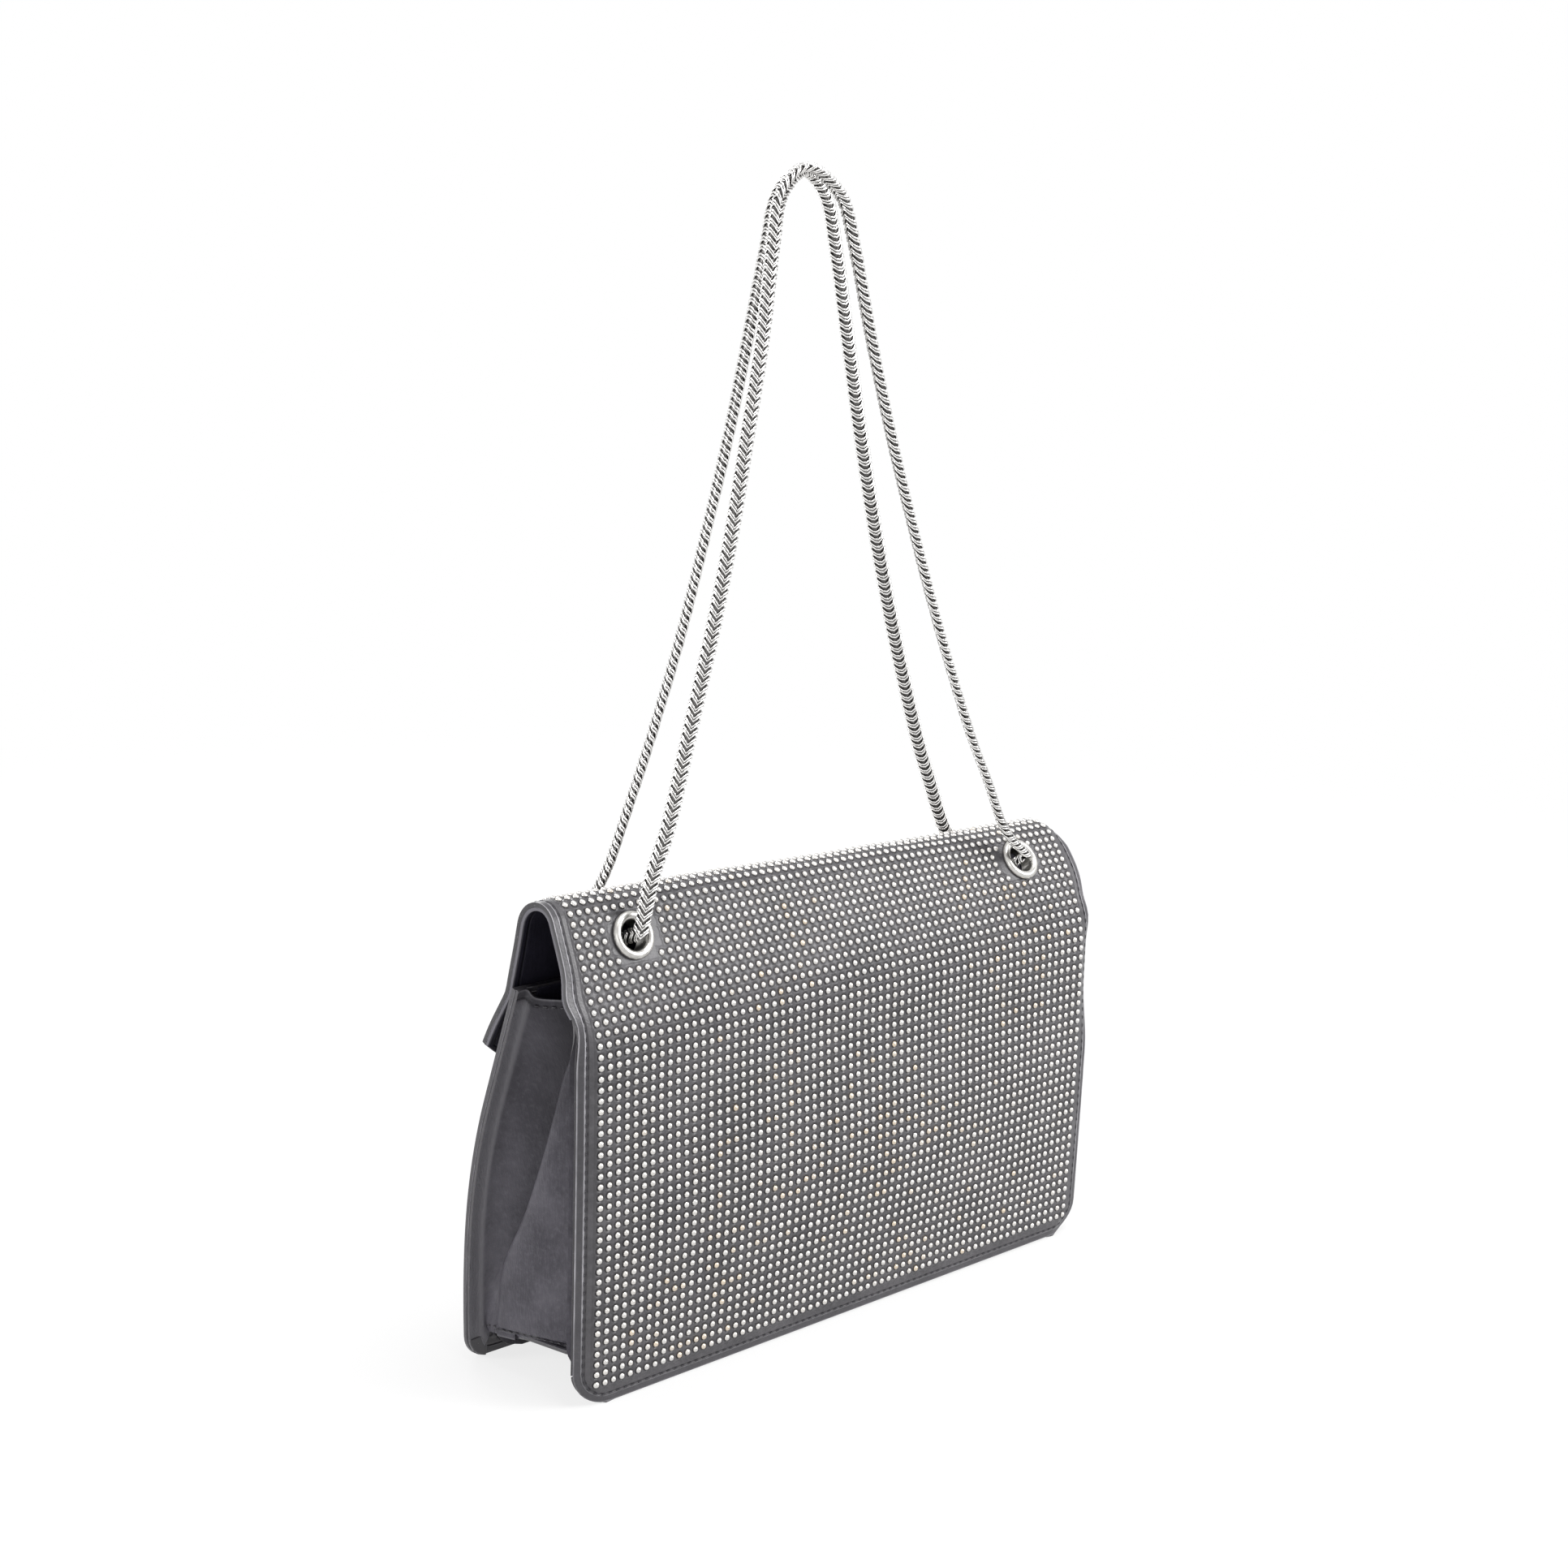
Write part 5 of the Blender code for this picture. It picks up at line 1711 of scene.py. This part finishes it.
def makeChains():
    template = linkTemplate()
    sight = Vector((0.68, 0.71, 0.0)).normalized()
    turns = {"back": (math.radians(8), math.radians(82)), "front": (math.radians(98), math.radians(176))}
    for row, shares in (("back", backStrapShares), ("front", frontStrapShares)):
        matrices = chainMatrices(strapRoute(row, shares), sight, *turns[row])
        chain = scatter("strap" + row.capitalize(), template, matrices, "chain")
        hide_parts("strap_" + row + "_chain")
        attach(chain, "strap_" + row)
        print(chain.name, len(matrices), "links")
    inside = -(doubled + eyeletForm["washerGap"] + eyeletForm["washerThick"] + 0.0006)
    mouth = eyeletForm["standoff"] - chainForm["radius"] + 0.0016
    for side, end in ((-1, "left"), (1, "right")):
        back = sideFrame(side * eyeletX, eyeletRuns["back"])
        front = sideFrame(side * eyeletX, eyeletRuns["front"])
        knots = [back @ Vector((0, 0, mouth)), back @ Vector((0, 0, inside))]
        last = [front @ Vector((0, 0, inside)), front @ Vector((0, 0, mouth))]
        middle = (knots[1] + last[0]) / 2
        middle.z -= chainForm["dip"]
        route = smoothRoute(knots + [middle] + last, chainForm["pitch"])
        turn = math.radians(20 if side > 0 else 70)
        matrices = chainMatrices(route, Vector((1, 0.2, 0)), turn, turn + 0.6)
        chain = scatter("chainRun" + end.capitalize(), template, matrices, "chain")
        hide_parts("chain_run_" + end)
        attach(chain, "flap")
    template.free()


makeChains()
print("chains made")


# Snap: a sprung socket on the front panel and a stud cap under the flap

snapForm = {
    "radius": 0.009, "socketHeight": 0.003, "fromEdge": 0.017, "stem": 0.002,
    "backing": 0.008, "backingThick": 0.0008,
}


def makeSnap():
    flapRun = flapEnd - snapForm["fromEdge"]
    height = besidePath(shellPath, flapRun, -doubled)[1]
    run = runAtHeight(frontPath, 0.0, frontLength, 0.0, height)
    swollen = bagForm["frontSwell"] * swell(0.0, run / frontLength)
    heading = walkPath(frontPath, run)[2]
    out = Vector((0.0, -math.sin(heading), -math.cos(heading)))
    sideways = Vector((1.0, 0.0, 0.0))
    matrix = Matrix((sideways, out.cross(sideways), out)).transposed().to_4x4()
    matrix.translation = place(0.0, *besidePath(frontPath, run, -swollen))
    gap = bagForm["gap"]
    radius = snapForm["radius"]
    top = gap + snapForm["socketHeight"]
    stemLow = -(doubled + gap)
    socket = [(0.0, top - 0.0018), (0.0030, top - 0.0018), (0.0034, top - 0.0004)]
    socket += arc(0.0044, top - 0.0007, 0.0010, 0.0007, 180, 0, 8)
    socket += [(0.0058, top - 0.0012), (radius - 0.0012, gap + 0.0010)]
    socket += arc(radius - 0.0006, gap + 0.0006, 0.0006, 0.0006, 120, -60, 7)
    socket += [(radius - 0.0008, gap), (snapForm["stem"], gap), (snapForm["stem"], stemLow), (0.0, stemLow)]
    piece = spinProfile("snapSocket", socket, matrix, "steel")
    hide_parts("snap_socket")
    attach(piece, "front")
    low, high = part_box("snap_stud")
    middle = (low + high) / 2
    room = (middle - matrix.translation).dot(out) - top
    capLow = top + gap
    capTop = max(capLow + 2 * (room - gap), capLow + 0.0018)
    cap = [(0.0, capLow), (0.0021, capLow)]
    cap += [(0.0026, capLow + 0.0002), (0.0030, capLow + 0.0007), (radius - 0.0012, capLow + 0.0007)]
    cap += arc(radius - 0.0006, capLow + 0.0011, 0.0006, 0.0005, -80, 80, 7)
    cap += [(radius - 0.0010, capTop), (0.0, capTop)]
    piece = spinProfile("snapStud", cap, matrix, "steel")
    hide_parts("snap_stud")
    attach(piece, "flap")
    low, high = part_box("snap_backing")
    middle = (low + high) / 2
    deep = (middle - matrix.translation).dot(out)
    inner = snapForm["stem"] + gap
    outer = snapForm["backing"]
    half = snapForm["backingThick"] / 2
    plate = [(inner, deep + half), (outer - 0.0003, deep + half), (outer, deep + half - 0.0002),
             (outer - 0.0002, deep - half), (inner, deep - half)]
    piece = spinProfile("snapBacking", plate, matrix, "steel")
    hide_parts("snap_backing")
    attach(piece, "front")


makeSnap()
print("snap made")


# Stage, light and camera

cameraForm = {
    "at": (0.685774, 0.672696 + backFaceY, 0.405491), "right": (-0.72605, 0.68738, 0.01926),
    "up": (-0.12113, -0.15541, 0.98040), "back": (0.67689, 0.70948, 0.19610), "lens": 59.28,
}

stageForm = {
    "pale": (0.90, 0.90, 0.90), "palest": (0.92, 0.92, 0.92), "reach": 6.0,
    "fadeFrom": 0.45, "fadeTo": 1.3, "nearGlow": 0.78, "farGlow": 0.22, "lampGoal": 0.12,
}

worldForm = {"diffuse": 0.35}


def makeFloor():
    bench = Bench("paleFloor")
    where = bench.place()
    x, y, z = bench.split(where)
    far = (x * x + y * y).math("SQRT").ramp(stageForm["fadeFrom"], stageForm["fadeTo"])
    seen = bench.backdropShare()
    tint = bench.blendColours(bench.cloud(where, 3.0), stageForm["pale"], stageForm["palest"])
    matt = bench.put("ShaderNodeBsdfDiffuse", None, {"Color": tint}).out("BSDF")
    glow = bench.put("ShaderNodeEmission", None, {"Color": (1.0, 1.0, 1.0), "Strength": 1.0})
    share = (far * stageForm["farGlow"] + stageForm["nearGlow"]) * seen
    mixed = bench.put("ShaderNodeMixShader", None, {0: share, 1: matt, 2: glow.out("Emission")})
    bench.put("ShaderNodeOutputMaterial", None, {"Surface": mixed.out("Shader")})
    bm = bmesh.new()
    bmesh.ops.create_grid(bm, x_segments=2, y_segments=2, size=stageForm["reach"])
    mesh = bpy.data.meshes.new("floor")
    bm.to_mesh(mesh)
    bm.free()
    mesh.materials.append(bench.material)
    floor = bpy.data.objects.new("floor", mesh)
    bpy.context.scene.collection.objects.link(floor)


def makeWorld():
    # white to the camera and in reflections, dimmer as a light
    world = bpy.data.worlds.new("studio")
    bpy.context.scene.world = world
    world.use_nodes = True
    bench = Bench(None, world.node_tree)
    level = bench.backdropShare() * (1 - worldForm["diffuse"]) + worldForm["diffuse"]
    back = bench.put("ShaderNodeBackground", None, {"Color": (1.0, 1.0, 1.0), "Strength": level})
    bench.put("ShaderNodeOutputWorld", None, {"Surface": back.out("Background")})


lamps = {
    "panelLamp": {"at": (-1.15, 1.35, 1.0), "size": 0.9, "power": 25.0},
    "gussetLamp": {"at": (1.7, -0.9, 0.7), "size": 0.7, "power": 18.0},
    "sideLamp": {"at": (1.5, 1.2, 0.7), "size": 0.9, "power": 3.0},
    "topLamp": {"at": (-0.1, 0.5, 2.2), "size": 1.0, "power": 26.0},
    "frontLamp": {"at": (-0.6, -1.8, 1.0), "size": 1.0, "power": 16.0},
}


def makeLamps():
    goal = Vector((0.0, 0.0, stageForm["lampGoal"]))
    for name, form in lamps.items():
        lamp = bpy.data.lights.new(name, "AREA")
        lamp.shape = "DISK"
        lamp.size = form["size"]
        lamp.energy = form["power"]
        item = bpy.data.objects.new(name, lamp)
        item.location = form["at"]
        item.rotation_euler = (goal - Vector(form["at"])).to_track_quat("-Z", "Y").to_euler()
        bpy.context.scene.collection.objects.link(item)


def makeCamera():
    data = bpy.data.cameras.new("camera")
    data.lens = cameraForm["lens"]
    data.sensor_width = 36.0
    data.clip_start = 0.01
    item = bpy.data.objects.new("camera", data)
    axes = [Vector(cameraForm[key]) for key in ("right", "up", "back")]
    matrix = Matrix(axes).transposed().to_4x4()
    matrix.translation = Vector(cameraForm["at"])
    item.matrix_world = matrix
    bpy.context.scene.collection.objects.link(item)
    bpy.context.scene.camera = item


makeFloor()
makeWorld()
makeLamps()
makeCamera()
bpy.context.scene.view_settings.view_transform = "Standard"
print("stage, light and camera set")
